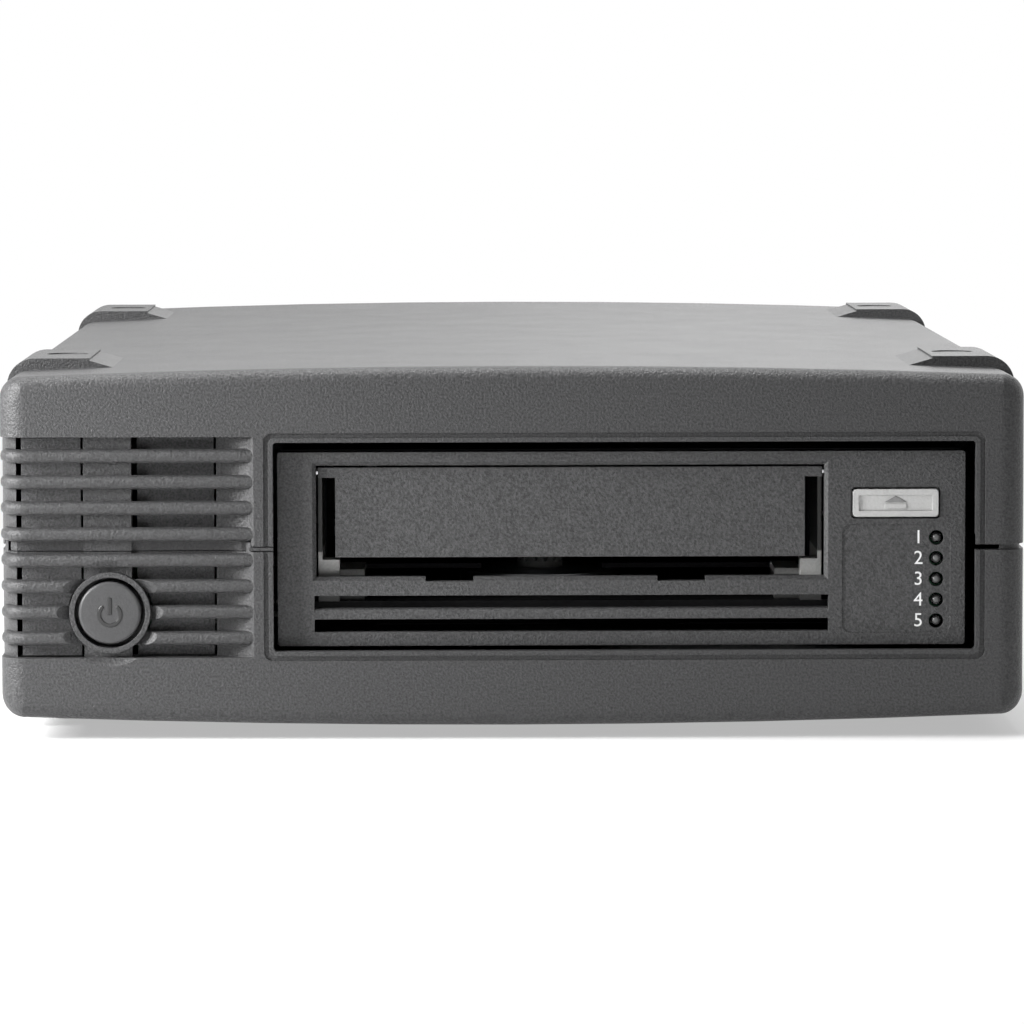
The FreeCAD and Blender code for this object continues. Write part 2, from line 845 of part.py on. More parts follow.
def make_rear_panel():
    """The sheet-steel back panel, with its slotted fan grille and the connector cut-outs."""
    panel = new_body("rear_panel")
    side = half_width - wall - panel_fit
    shoulder = shell_height / 2 - crown - wall - panel_fit
    radius = crown_radius - wall
    outline = [
        (-side, middle - shoulder),
        (side, middle - shoulder, radius),
        (side, middle + shoulder),
        (-side, middle + shoulder, radius),
    ]
    back = panel_face - panel_sheet
    pad(panel, "sheet", "XZ", back, panel_face, outline)
    slots = int(fan_bore.value / vent_slot_pitch.value)
    vents = []
    for count in range(-slots, slots + 1):
        x = vent_slot_pitch * count
        half = root(fan_bore * fan_bore - x * x)
        left = fan_x + x - vent_slot_width / 2
        vents.append(box_outline(left, left + vent_slot_width, middle - half, middle + half))
    pocket(panel, "vents", "XZ", back - 1, panel_face + 1, *vents)
    inlet = inlet_outline(panel_fit)
    pocket(panel, "inlet_opening", "XZ", back - 1, panel_face + 1, inlet)
    for number, x in enumerate(port_spots(), 1):
        half = port_width / 2 + panel_fit
        opening = box_outline(x - half, x + half, port_z - panel_fit, port_z + port_height + panel_fit)
        pocket(panel, f"port_opening_{number}", "XZ", back - 1, panel_face + 1, opening)
    holes = [(x, z, fan_hole_radius) for x, z in fan_hole_spots()]
    holes += [(x, z, panel_screw_radius + running) for x, z in panel_screw_spots()]
    pocket(panel, "screw_holes", "XZ", back - 1, panel_face + 1, *holes)
    finish_part(panel)


def inlet_outline(out):
    """The mains inlet's body seen from behind, with its two slanted upper corners."""
    left, right = -inlet_x - inlet_width / 2 - out, -inlet_x + inlet_width / 2 + out
    low, high = inlet_z - inlet_height / 2 - out, inlet_z + inlet_height / 2 + out
    slant = inlet_height / 4
    return [(left, low), (right, low), (right, high - slant), (right - slant, high), (left + slant, high), (left, high - slant)]


def port_spots():
    """The middle of each data receptacle."""
    return [-port_middle - port_pitch / 2, -port_middle + port_pitch / 2]


def make_mains_inlet():
    """The three-blade mains inlet, with a flange behind the panel's opening."""
    inlet = new_body("mains_inlet")
    pad(inlet, "body", "XZ", inlet_face - inlet_depth, inlet_face, inlet_outline(0))
    half_wide, half_high = inlet_flange_width / 2, inlet_flange_height / 2
    flange = box_outline(-inlet_x - half_wide, -inlet_x + half_wide, inlet_z - half_high, inlet_z + half_high)
    pad(inlet, "flange", "XZ", panel_face, inlet_face, flange)
    pocket(inlet, "socket", "XZ", inlet_face - inlet_socket, inlet_face + 1, inlet_outline(-inlet_wall))
    finish_part(inlet)
    blades = []
    base = inlet_face - inlet_socket
    for across, up in ((-7, -2), (7, -2), (0, 2)):
        x, z = -inlet_x + across, inlet_z + up
        wide, high = blade_width / 2, blade_height / 2
        blades.append(block("inlet_blade", (x - wide, x + wide), (base, base + blade_length), (z - high, z + high)))
    finish_part(group("inlet_blades", *blades))


def make_fan():
    """The case fan: a square frame with a motor seat on struts, and a rotor with twisted blades."""
    frame = new_body("fan_frame")
    half, reach = fan_size / 2, fan_hole_pitch / 2
    pad(frame, "block", "XY", 0, fan_depth, box_outline(-half, half, -half, half, fan_corner))
    pocket(frame, "bore", "XY", -fit, fan_depth + fit, (0, 0, fan_bore))
    holes = [(reach * x, reach * y, fan_hole_radius) for x in (-1, 1) for y in (-1, 1)]
    pocket(frame, "holes", "XY", -fit, fan_depth + fit, *holes)
    wide = fan_strut / 2
    pad(frame, "seat", "XY", 0, fan_strut, (0, 0, fan_seat))
    strut = box_outline(fan_seat - 1, fan_bore + 1, -wide, wide)
    polar(frame, "struts", pad(frame, "strut", "XY", 0, fan_strut, strut), 3)
    pocket(frame, "shaft_bore", "XY", -fit, fan_strut + fit, (0, 0, fan_shaft + running))
    place(frame, (fan_x, fan_front, middle), TURNS["y"])
    finish_part(frame)
    rotor = new_body("fan_rotor")
    low, high = fan_strut + fan_tip_gap, fan_depth - fan_tip_gap
    pad(rotor, "hub", "XY", low, high, (0, 0, fan_hub))
    pad(rotor, "shaft", "XY", fan_tip_gap, low, (0, 0, fan_shaft))
    middle_z = (low + high) / 2
    across, up, thick = fan_blade_chord / 2, fan_blade_rise / 2, fan_blade / 2
    section = [
        (-across, middle_z - up),
        (thick - across, middle_z - up - thick),
        (across, middle_z + up),
        (across - thick, middle_z + up + thick),
    ]
    blade = pad(rotor, "blade", "YZ", fan_hub - 1, fan_bore - fan_tip_room, section)
    blades = rotor.newObject("PartDesign::PolarPattern", "fan_blades")
    blades.Originals = [blade]
    blades.Axis = (origin_axis(rotor, "Z_Axis"), [""])
    blades.Angle = 360
    blades.Occurrences = fan_blades
    rotor.Tip = blades
    settle(rotor, blades)
    place(rotor, (fan_x, fan_front, middle), TURNS["y"])
    finish_part(rotor)


def origin_axis(body, role):
    """The body's own origin axis of that name."""
    return next(item for item in body.Origin.OriginFeatures if item.Role == role)


def screw(name, axis, spot, radius, length, head_radius, head, back=False):
    """A plain screw whose head sits before the spot and whose shank runs along an axis, or back along it."""
    turn = -1 if back else 1
    x, y, z = spot
    step = {"x": (turn, 0, 0), "y": (0, turn, 0), "z": (0, 0, turn)}[axis]
    start = [place_at + (length if back else 0) * way for place_at, way in zip((x, y, z), step)]
    cap = [place_at - (head if not back else 0) * way for place_at, way in zip((x, y, z), step)]
    shank = rod(f"{name}_shank", axis, start, radius, length)
    return fuse(name, shank, rod(f"{name}_head", axis, cap, head_radius, head))


def make_feet_and_screws():
    """The rubber feet, and the screws that close the case and hold its back panel and fan."""
    feet = []
    for x, y in foot_spots():
        foot = rod("foot", "z", (x, y, 0), foot_radius, foot_drop + foot_seat)
        feet.append(foot)
    finish_part(group("rubber_feet", *feet))
    seat = middle - case_screw_seat
    screws = [
        screw("case_screw", "z", (x, y, seat), case_screw_radius, case_screw_length, case_screw_head,
              case_screw_head_height)
        for x, y in boss_spots()
    ]
    finish_part(group("case_screws", *screws))
    screws = [
        screw("panel_screw", "y", (x, panel_face, z), panel_screw_radius, panel_screw_length, panel_screw_head,
              panel_screw_radius, back=True)
        for x, z in panel_screw_spots()
    ]
    finish_part(group("panel_screws", *screws))
    screws = [
        screw("fan_screw", "y", (x, panel_face, z), fan_hole_radius - screw_fit, fan_depth / 2, fan_hole_radius * 2,
              panel_screw_radius, back=True)
        for x, z in fan_hole_spots()
    ]
    finish_part(group("fan_screws", *screws))


def make_ports():
    """The interface board at the back and its two shielded data receptacles."""
    receptacles = []
    back = panel_face + port_proud
    for x in port_spots():
        half = port_width / 2
        low, high = port_z, port_z + port_height
        shell = block("port_shell", (x - half, x + half), (back - port_depth, back), (low, high))
        inner = half - port_wall
        hollow = block("port_hollow", (x - inner, x + inner), (back - port_depth + port_wall * 3, back + 1),
                       (low + port_wall, high - port_wall))
        tongue_mid = (low + high) / 2
        tongue = block("port_tongue", (x - inner + 1.6, x + inner - 1.6), (back - port_depth + port_wall, back - 8),
                       (tongue_mid - port_tongue / 2, tongue_mid + port_tongue / 2))
        receptacles.append(fuse("port", cut("port_cage", shell, hollow), tongue))
    finish_part(group("data_receptacles", *receptacles))
    left, right = -port_middle - board_half, -port_middle + board_half
    board_back = panel_face - panel_sheet - fit
    board = block("board", (left, right), (board_back - board_length, board_back), (port_z - board_sheet, port_z))
    finish_part(cut("interface_board", board, *[
        rod("board_hole", "z", (x, y, port_z - board_sheet - 1), screw_hole, board_sheet * 2)
        for x, y in board_post_spots()
    ]))
    chips = [
        block("chip", (-port_middle - 8, -port_middle + 8), (board_back - 48, board_back - 32), (port_z, port_z + 2.4)),
        block("socket", (left + 11, left + 19), (board_back - board_length + 1, board_back - board_length + 9),
              (port_z, port_z + 6)),
        block("fan_header", (-3, 3), (112, 118), (port_z, port_z + 6)),
    ]
    finish_part(group("interface_chips", *chips))


board_half = size("board_half", 31)
board_length = size("board_length", 56)
screw_hole = size("screw_hole", 1.6)
post_radius = size("post_radius", 3.2)
board_inset = size("board_inset", 3.8)


def board_post_spots():
    """The interface board's posts, near its corners but clear of the receptacles."""
    board_back = panel_face - panel_sheet - fit
    near, far = board_back - board_length + board_inset + 10, board_back - board_inset
    return [(-port_middle + (board_half - board_inset) * side, y) for side in (-1, 1) for y in (near, far)]


# ---------------------------------------------------------------------------------------------------
# The half-height drive

# Bezel and its openings
drive_x = size("drive_x", 23.45)
bezel_width = size("bezel_width", 147.9)
bezel_height = size("bezel_height", 41.8)
bezel_low = size("bezel_low", 19.8)
bezel_recess = size("bezel_recess", 4)
bezel_sheet = size("bezel_sheet", 2.5)
bezel_lip = size("bezel_lip", 5.4)
bezel_wall = size("bezel_wall", 1.6)
slot_left = size("slot_left", 42.2)
slot_right = size("slot_right", 67.1)
slot_low = size("slot_low", 34.7)
slot_high = size("slot_high", 58.7)
slot_notch_width = size("slot_notch_width", 10.3)
slot_notch_left = size("slot_notch_left", 18.7)
slot_notch_right = size("slot_notch_right", 31.2)
slot_notch_depth = size("slot_notch_depth", 1)
slot_chamfer = size("slot_chamfer", 0.8)
vent_left = size("vent_left", 42.6)
vent_right = size("vent_right", 68)
vent_height = size("vent_height", 2.75)
upper_vent_low = size("upper_vent_low", 27.9)
lower_vent_low = size("lower_vent_low", 22.8)
vent_bar_radius = size("vent_bar_radius", 1)
lamp_panel_left = size("lamp_panel_left", 71)
lamp_panel_right = size("lamp_panel_right", 94.2)
lamp_panel_low = size("lamp_panel_low", 22.4)
lamp_panel_high = size("lamp_panel_high", 45.8)
lamp_panel_radius = size("lamp_panel_radius", 1.8)
lamp_panel_depth = size("lamp_panel_depth", 0.2)
lamp_x = size("lamp_x", 91.2)
lamp_low = size("lamp_low", 24.9)
lamp_pitch = size("lamp_pitch", 4.49)
lamp_hole = size("lamp_hole", 1.57)
lens_radius = size("lens_radius", 1.25)
lens_set_back = size("lens_set_back", 0.3)
lamps = 5

# Door
door_left = size("door_left", 38.1)
door_right = size("door_right", 63)
door_low = size("door_low", 38.8)
door_set_back = size("door_set_back", 1.7)
door_sheet = size("door_sheet", 1.6)
door_ear = size("door_ear", 2.1)
door_top_gap = size("door_top_gap", 0.5)
door_rib = size("door_rib", 1)
hinge_z = size("hinge_z", 57.1)
hinge_back = size("hinge_back", 2.4)
pin_radius = size("pin_radius", 0.6)
pin_length = size("pin_length", 7)
lug_thickness = size("lug_thickness", 1.8)
lug_gap = size("lug_gap", 0.4)

# Eject button
eject_left = size("eject_left", 73.2)
eject_right = size("eject_right", 91.6)
eject_low = size("eject_low", 47.4)
eject_high = size("eject_high", 53.35)
eject_gap = size("eject_gap", 0.4)
eject_proud = size("eject_proud", 0.4)
eject_border = size("eject_border", 1.3)
eject_dish = size("eject_dish", 0.3)
eject_radius = size("eject_radius", 0.8)
eject_depth = size("eject_depth", 4.6)
eject_travel = size("eject_travel", 1)
eject_stem = size("eject_stem", 1.5)
front_board_back = size("front_board_back", 11)

# Chassis
chassis_width = size("chassis_width", 146)
chassis_length = size("chassis_length", 200)
chassis_low = size("chassis_low", 20.4)
chassis_height = size("chassis_height", 40.6)
chassis_wall = size("chassis_wall", 1.8)
deck_low = size("deck_low", 27)
deck_sheet = size("deck_sheet", 2)
cover_sheet = size("cover_sheet", 0.8)
rail_sheet = size("rail_sheet", 1.2)

# Tape path
spindle_x = size("spindle_x", 6.8)
spindle_back = size("spindle_back", 57)
clutch_radius = size("clutch_radius", 5.1)
clutch_wall = size("clutch_wall", 1.3)
clutch_low = size("clutch_low", 31.6)
clutch_rise = size("clutch_rise", 3.2)
clutch_base = size("clutch_base", 1)
clutch_teeth = 14
motor_radius = size("motor_radius", 18)
motor_height = size("motor_height", 2.1)
motor_shaft = size("motor_shaft", 2)
reel_x = size("reel_x", 14)
reel_y = size("reel_y", 10)
reel_radius = size("reel_radius", 38)
reel_hub = size("reel_hub", 17)
reel_flange = size("reel_flange", 1.2)
reel_low = size("reel_low", 34)
reel_height = size("reel_height", 16)
reel_window = size("reel_window", 7)
reel_window_reach = size("reel_window_reach", 27)
roller_radius = size("roller_radius", 4.5)
roller_height = size("roller_height", 14)
roller_low = size("roller_low", 33)
roller_shaft = size("roller_shaft", 1.5)
roller_near_x = size("roller_near_x", 33)
roller_far_x = size("roller_far_x", 35)
roller_near_y = size("roller_near_y", 18)
roller_far_y = size("roller_far_y", 34)
roller_flange = size("roller_flange", 0.8)
plate_sheet = size("plate_sheet", 1.5)
head_x = size("head_x", 37)
head_width = size("head_width", 8)
head_length = size("head_length", 20)
head_low = size("head_low", 37.2)
head_height = size("head_height", 9)
head_travel = size("head_travel", 3)
head_rod = size("head_rod", 1.2)

# Loader
cartridge_width = size("cartridge_width", 105.4)
cartridge_height = size("cartridge_height", 21.5)
cartridge_fit = size("cartridge_fit", 0.4)
carriage_sheet = size("carriage_sheet", 1)
carriage_front = size("carriage_front", 39)
carriage_length = size("carriage_length", 70)
carriage_low = size("carriage_low", 33.6)
carriage_travel = size("carriage_travel", 8)
carriage_window = size("carriage_window", 16)
carriage_lip = size("carriage_lip", 6)
rack_module = size("rack_module", 1)
rack_height = size("rack_height", 3)
rack_low = size("rack_low", 37)
rack_web = size("rack_web", 1.2)
gear_height = size("gear_height", 4)
gear_teeth = 14
gear_y = size("gear_y", 80)
tooth_play = size("tooth_play", 0.24)
loader_motor_radius = size("loader_motor_radius", 6)
loader_motor_height = size("loader_motor_height", 12)
loader_shaft = size("loader_shaft", 1.5)
bracket_low = size("bracket_low", 42.5)
arm_low = size("arm_low", 52.6)
arm_sheet = size("arm_sheet", 1.5)
arm_reach = size("arm_reach", 54)
arm_width = size("arm_width", 7)
arm_hub = size("arm_hub", 6)

bezel_face = front + bezel_recess
bezel_back = bezel_face + bezel_lip
bezel_left, bezel_right = drive_x - bezel_width / 2, drive_x + bezel_width / 2
slot_middle = (slot_right - slot_left) / 2
hinge_y = bezel_face + hinge_back
door_face = bezel_face + door_set_back
chassis_front = bezel_back + fit
chassis_left, chassis_right = drive_x - chassis_width / 2, drive_x + chassis_width / 2
chassis_back = chassis_front + chassis_length
chassis_high = chassis_low + chassis_height
deck_high = deck_low + deck_sheet
spindle_y = bezel_face + spindle_back
carriage_y = bezel_back + carriage_front - 12
cartridge_left = slot_middle - cartridge_width / 2 - cartridge_fit
cartridge_right = slot_middle + cartridge_width / 2 + cartridge_fit


def make_bezel():
    """The drive's bezel, with its cartridge slot, vents, lamp panel and the lugs that the door hangs on."""
    bezel = new_body("drive_bezel")
    high = bezel_low + bezel_height
    pad(bezel, "plate", "XZ", bezel_face, bezel_back, box_outline(bezel_left, bezel_right, bezel_low, high, fit * 2))
    hollow = box_outline(bezel_left + bezel_wall, bezel_right - bezel_wall, bezel_low + bezel_wall, high - bezel_wall)
    pocket(bezel, "hollow", "XZ", bezel_face + bezel_sheet, bezel_back + 1, hollow)
    slot = [
        (-slot_left, slot_low),
        (-slot_notch_left, slot_low),
        (-slot_notch_left, slot_low - slot_notch_depth),
        (slot_notch_width - slot_notch_left, slot_low - slot_notch_depth),
        (slot_notch_width - slot_notch_left, slot_low),
        (slot_notch_right, slot_low),
        (slot_notch_right, slot_low - slot_notch_depth),
        (slot_notch_right + slot_notch_width, slot_low - slot_notch_depth),
        (slot_notch_right + slot_notch_width, slot_low),
        (slot_right, slot_low),
        (slot_right, slot_high),
        (-slot_left, slot_high),
    ]
    pocket(bezel, "slot", "XZ", bezel_face - 1, bezel_back + 1, slot)
    vents = [box_outline(-vent_left, vent_right, low, low + vent_height) for low in (lower_vent_low, upper_vent_low)]
    pocket(bezel, "vents", "XZ", bezel_face - 1, bezel_back + 1, *vents)
    panel = box_outline(lamp_panel_left, lamp_panel_right, lamp_panel_low, lamp_panel_high, lamp_panel_radius)
    pocket(bezel, "lamp_panel", "XZ", bezel_face - 1, bezel_face + lamp_panel_depth, panel)
    holes = [(lamp_x, lamp_low + lamp_pitch * count, lamp_hole) for count in range(lamps)]
    pocket(bezel, "lamp_holes", "XZ", bezel_face - 1, bezel_back + 1, *holes)
    gap = eject_gap
    hole = box_outline(eject_left - gap, eject_right + gap, eject_low - gap, eject_high + gap, eject_radius)
    pocket(bezel, "eject_hole", "XZ", bezel_face - 1, bezel_back + 1, hole)
    for name, left in (("left_lug", -slot_left - lug_thickness), ("right_lug", slot_right)):
        lug = box_outline(hinge_y - 1, bezel_back, hinge_z - 2, high - bezel_wall + fit)
        pad(bezel, name, "YZ", left, left + lug_thickness, lug)
    pocket(bezel, "pin_bores", "YZ", -slot_left - 3, slot_right + 3, (hinge_y, hinge_z, pin_radius + running))
    shape = bezel.Tip.Shape
    bars = edge_names(shape, "x", y=bezel_face, z=upper_vent_low) + edge_names(shape, "x", y=bezel_face, z=slot_low)
    rims = edge_names(shape, "z", y=bezel_face, x=slot_right) + edge_names(shape, "z", y=bezel_face, x=-slot_left)
    rims += edge_names(shape, "x", y=bezel_face, z=slot_high)
    round_edges(bezel, "vent_bar", vent_bar_radius, bars[:1])
    shape = bezel.Tip.Shape
    rims = edge_names(shape, "z", y=bezel_face, x=slot_right) + edge_names(shape, "z", y=bezel_face, x=-slot_left)
    rims += edge_names(shape, "x", y=bezel_face, z=slot_high) + edge_names(shape, "x", y=bezel_face, z=slot_low)
    round_edges(bezel, "slot_chamfer", slot_chamfer, rims, "PartDesign::Chamfer")
    finish_part(bezel)


def make_door():
    """The cartridge door, which hangs on two pins and swings inwards, and the pins."""
    door = new_body("drive_door")
    top = slot_high - door_top_gap
    ear_low = slot_high - door_ear
    left, right = -slot_left + lug_gap, slot_right - lug_gap
    outline = [
        (-door_left, door_low),
        (door_right, door_low),
        (door_right, ear_low),
        (right, ear_low),
        (right, top),
        (left, top),
        (left, ear_low),
        (-door_left, ear_low),
    ]
    pad(door, "panel", "XZ", door_face, door_face + door_sheet, outline)
    back = door_face + door_sheet
    low_rib = box_outline(fit - door_left, door_right - fit, door_low + 1, door_low + 1 + door_rib)
    pad(door, "lower_rib", "XZ", back, back + door_rib, low_rib)
    knuckle = [
        (hinge_y - pin_radius * 1.2, hinge_z - 1.1),
        (hinge_y + pin_radius * 2.4, hinge_z - 1.1),
        (hinge_y + pin_radius * 2.4, hinge_z + 0.6),
        (hinge_y + pin_radius, top),
        (hinge_y - pin_radius * 1.2, top),
    ]
    pad(door, "knuckle", "YZ", left, right, knuckle)
    pocket(door, "pin_bore_left", "YZ", left - 1, left + pin_length, (hinge_y, hinge_z, pin_radius))
    pocket(door, "pin_bore_right", "YZ", right - pin_length, right + 1, (hinge_y, hinge_z, pin_radius))
    finish_part(door)
    pins = []
    reach = lug_thickness + lug_gap
    for start in (left - reach, right + reach - pin_length):
        pins.append(rod("door_pin", "x", (start, hinge_y, hinge_z), pin_radius, pin_length))
    finish_part(group("door_pins", *pins))


def make_front_controls():
    """The eject button, the lamp lenses and the small board behind them."""
    button = new_body("eject_button")
    face = bezel_face - eject_proud
    outline = box_outline(eject_left, eject_right, eject_low, eject_high, eject_radius)
    pad(button, "cap", "XZ", face, face + eject_depth, outline)
    edge = eject_border
    dish = box_outline(eject_left + edge, eject_right - edge, eject_low + edge, eject_high - edge)
    pocket(button, "dish", "XZ", face - 1, face + eject_dish, dish)
    flange = box_outline(eject_left - 1, eject_right + 1, eject_low - 0.9, eject_high + 0.9)
    pad(button, "flange", "XZ", bezel_face + bezel_sheet + 0.1, bezel_face + bezel_sheet + 1.1, flange)
    x, z = (eject_left + eject_right) / 2, (eject_low + eject_high) / 2
    board = bezel_face + front_board_back
    switch_face = board - 2.6
    pad(button, "stem", "XZ", face + eject_depth, switch_face - eject_travel - fit, (x, z, eject_stem))
    finish_part(button)
    lenses = []
    for count in range(lamps):
        lens = new_body(f"lens_{count + 1}")
        outline = [(0, 0), (lens_radius, 0), (lens_radius, bezel_sheet + 2), (0, bezel_sheet + 2)]
        turned(lens, "barrel", outline)
        round_edges(lens, "rim", lens_radius * 0.3, edge_names(lens.Tip.Shape, z=0), "PartDesign::Chamfer")
        spot = (lamp_x, bezel_face + lens_set_back, lamp_low + lamp_pitch * count)
        lenses.append(place(lens, spot, TURNS["y"]))
    finish_part(group("indicator_lenses", *lenses))
    sheet_box = ((lamp_panel_left - 1, lamp_panel_right - 0.2), (board, board + board_sheet),
                 (lamp_panel_low + 1, eject_high + 3))
    finish_part(block("front_board", *sheet_box))
    lamp_back = bezel_face + lens_set_back + bezel_sheet + 2
    pieces = [
        rod("lamp", "y", (lamp_x, lamp_back + fit, lamp_low + lamp_pitch * count), lens_radius, board - lamp_back - fit)
        for count in range(lamps)
    ]
    pieces.append(block("eject_switch", (x - 3, x + 3), (switch_face, board), (z - 3, z + 3)))
    finish_part(group("lamps_and_switch", *pieces))


def make_chassis():
    """The drive's cast chassis: two walls, a deck with motor openings and a back wall with connector room."""
    chassis = new_body("drive_chassis")
    left, right = chassis_left, chassis_right
    wall_in = chassis_wall
    pad(chassis, "block", "XY", chassis_low, chassis_high, box_outline(left, right, chassis_front, chassis_back, 2))
    inner = box_outline(left + wall_in, right - wall_in, chassis_front - 1, chassis_back - wall_in)
    pocket(chassis, "well", "XY", deck_high, chassis_high + 1, inner)
    pocket(chassis, "underside", "XY", chassis_low - 1, deck_low, inner)
    clutch = (spindle_x, spindle_y, motor_radius + 1)
    reel = (reel_x, reel_y, motor_radius + 1)
    pocket(chassis, "motor_openings", "XY", deck_low - 1, deck_high + 1, clutch, reel)
    notch_back = bezel_face + front_board_back + board_sheet + fit
    notch = box_outline(lamp_panel_left - 1 - fit, right - wall_in, chassis_front - 1, notch_back)
    pocket(chassis, "front_board_way", "XY", deck_low - 1, deck_high + 1, notch)
    connector = box_outline(left + 12, right - 12, chassis_low + cover_sheet + 1.6, deck_low - 0.6)
    pocket(chassis, "connector_opening", "XZ", chassis_back - wall_in - 1, chassis_back + 1, connector)
    low_slots = [
        box_outline(y, y + 26, deck_high + 8, deck_high + 14, 2)
        for y in (chassis_front + 60, chassis_front + 110, chassis_front + 155)
    ]
    pocket(chassis, "wall_slots", "YZ", left - 1, right + 1, *low_slots)
    side_holes = [(y, chassis_low + 10, 1.6) for y in rail_screw_ys()]
    pocket(chassis, "side_holes", "YZ", left - 1, right + 1, *side_holes)
    finish_part(chassis)
    cover_low = chassis_high
    cover = new_body("drive_cover")
    plan = box_outline(left, right, chassis_front, chassis_back)
    pad(cover, "sheet", "XY", cover_low, cover_low + cover_sheet, plan)
    bead = box_outline(reel_x - 44, reel_x + 44, reel_y - 40, reel_y + 38, 12)
    inside = box_outline(reel_x - 42, reel_x + 42, reel_y - 38, reel_y + 36, 10)
    pocket(cover, "bead", "XY", cover_low + cover_sheet / 2, cover_low + cover_sheet + 1, bead, inside)
    finish_part(cover)
    base = new_body("drive_base_cover")
    plan = box_outline(left + wall_in + fit, right - wall_in - fit, chassis_front, chassis_back - wall_in - fit)
    pad(base, "sheet", "XY", chassis_low, chassis_low + cover_sheet, plan)
    slots = [box_outline(x, x + 40, chassis_front + 25, chassis_front + 28) for x in (left + 20, right - 60)]
    row = pocket(base, "vents", "XY", chassis_low - 1, chassis_low + cover_sheet + 1, *slots)
    repeat = base.newObject("PartDesign::LinearPattern", "base_vent_rows")
    repeat.Originals = [row]
    repeat.Direction = (row.Profile[0], ["V_Axis"])
    repeat.Length = 140
    repeat.Occurrences = 10
    base.Tip = repeat
    settle(base, repeat)
    finish_part(base)


rail_screw_near = size("rail_screw_near", 95)
rail_screw_pitch = size("rail_screw_pitch", 79.25)
rail_screw_radius = size("rail_screw_radius", 1.4)
rail_start = size("rail_start", 84)
rail_length = size("rail_length", 108)
rail_foot = size("rail_foot", 8)
rail_foot_low = size("rail_foot_low", 18)


def rail_screw_ys():
    """Where the side screws stand along the drive."""
    return [chassis_front + rail_screw_near - 6, chassis_front + rail_screw_near + rail_screw_pitch - 6]


def make_tape_path():
    """The two spindle motors, the clutch, the take-up reel, the rollers and the head."""
    for label, x, y, top in (
        ("clutch_motor", spindle_x, spindle_y, clutch_low - 0.2),
        ("takeup_motor", reel_x, reel_y, reel_low - 1.4),
    ):
        base = chassis_low + cover_sheet + board_sheet + 2.4
        body = rod(f"{label}_body", "z", (x, y, base), motor_radius, top - base)
        shaft_high = clutch_low + 2.6 if label == "clutch_motor" else reel_low + reel_height - 1
        shaft = rod(f"{label}_shaft", "z", (x, y, base), motor_shaft, shaft_high - base)
        finish_part(fuse(label, body, shaft))
    clutch = new_body("reel_clutch")
    pad(clutch, "disc", "XY", 0, clutch_base, (0, 0, clutch_radius))
    pad(clutch, "ring", "XY", clutch_base, clutch_rise - 1.6, (0, 0, clutch_radius), (0, 0, clutch_radius - clutch_wall))
    half, tip = clutch_radius * 0.16, clutch_radius * 0.06
    low, high = clutch_rise - 1.6, clutch_rise
    tooth = [(-half, low - 0.2), (half, low - 0.2), (half, low), (tip, high), (-tip, high), (-half, low)]
    inner = clutch_radius - clutch_wall
    teeth = pad(clutch, "tooth", "XZ", inner + 0.1, clutch_radius - 0.1, tooth)
    pattern = clutch.newObject("PartDesign::PolarPattern", "clutch_teeth")
    pattern.Originals = [teeth]
    pattern.Axis = (origin_axis(clutch, "Z_Axis"), [""])
    pattern.Angle = 360
    pattern.Occurrences = clutch_teeth
    clutch.Tip = pattern
    settle(clutch, pattern)
    pocket(clutch, "bore", "XY", -1, clutch_base + 1, (0, 0, motor_shaft + running))
    finish_part(place(clutch, (spindle_x, spindle_y, clutch_low)))
    make_reel()
    plate_left, plate_right = -roller_far_x - 9, -roller_near_x + 6.5
    plate = block("roller_plate_sheet", (plate_left, plate_right), (-roller_far_y - 6, roller_far_y + 6),
                  (deck_high, deck_high + plate_sheet))
    posts = []
    for x, y in roller_spots():
        posts.append(rod("roller_post", "z", (x, y, deck_high), roller_shaft, roller_low + roller_height + 2 - deck_high))
        posts.append(rod("roller_foot", "z", (x, y, deck_high), roller_shaft * 2, roller_low - fit - deck_high))
    finish_part(fuse("roller_plate", plate, *posts))
    for number, (x, y) in enumerate(roller_spots(), 1):
        roller = new_body(f"tape_roller_{number}")
        bore, lip = roller_shaft + running, roller_flange
        outline = [
            (bore, 0), (roller_radius, 0), (roller_radius, lip), (roller_radius - lip, lip),
            (roller_radius - lip, roller_height - lip), (roller_radius, roller_height - lip),
            (roller_radius, roller_height), (bore, roller_height),
        ]
        turned(roller, "barrel", outline)
        finish_part(place(roller, (x, y, roller_low)))
    make_head()


def roller_spots():
    """Where the four tape rollers stand, from the cartridge to the reel."""
    far = [(-roller_far_x, roller_far_y * end) for end in (-1, 1)]
    near = [(-roller_near_x, roller_near_y * end) for end in (-1, 1)]
    return [far[0], near[0], near[1], far[1]]


def make_reel():
    """The take-up reel: two flanges on a hub, the upper one with six windows."""
    reel = new_body("takeup_reel")
    bore, sheet_in = motor_shaft + running, reel_flange
    outline = [
        (bore, 0), (reel_radius, 0), (reel_radius, sheet_in), (reel_hub, sheet_in),
        (reel_hub, reel_height - sheet_in), (reel_radius, reel_height - sheet_in),
        (reel_radius, reel_height), (reel_hub - 3, reel_height), (reel_hub - 3, sheet_in * 2),
        (bore + 2, sheet_in * 2), (bore + 2, reel_height - 2), (bore, reel_height - 2),
    ]
    turned(reel, "spool", outline)
    top = reel_height - sheet_in
    window = pocket(reel, "window", "XY", top - 1, reel_height + 1, (reel_window_reach, 0, reel_window))
    polar(reel, "windows", window, 6)
    finish_part(place(reel, (reel_x, reel_y, reel_low)))


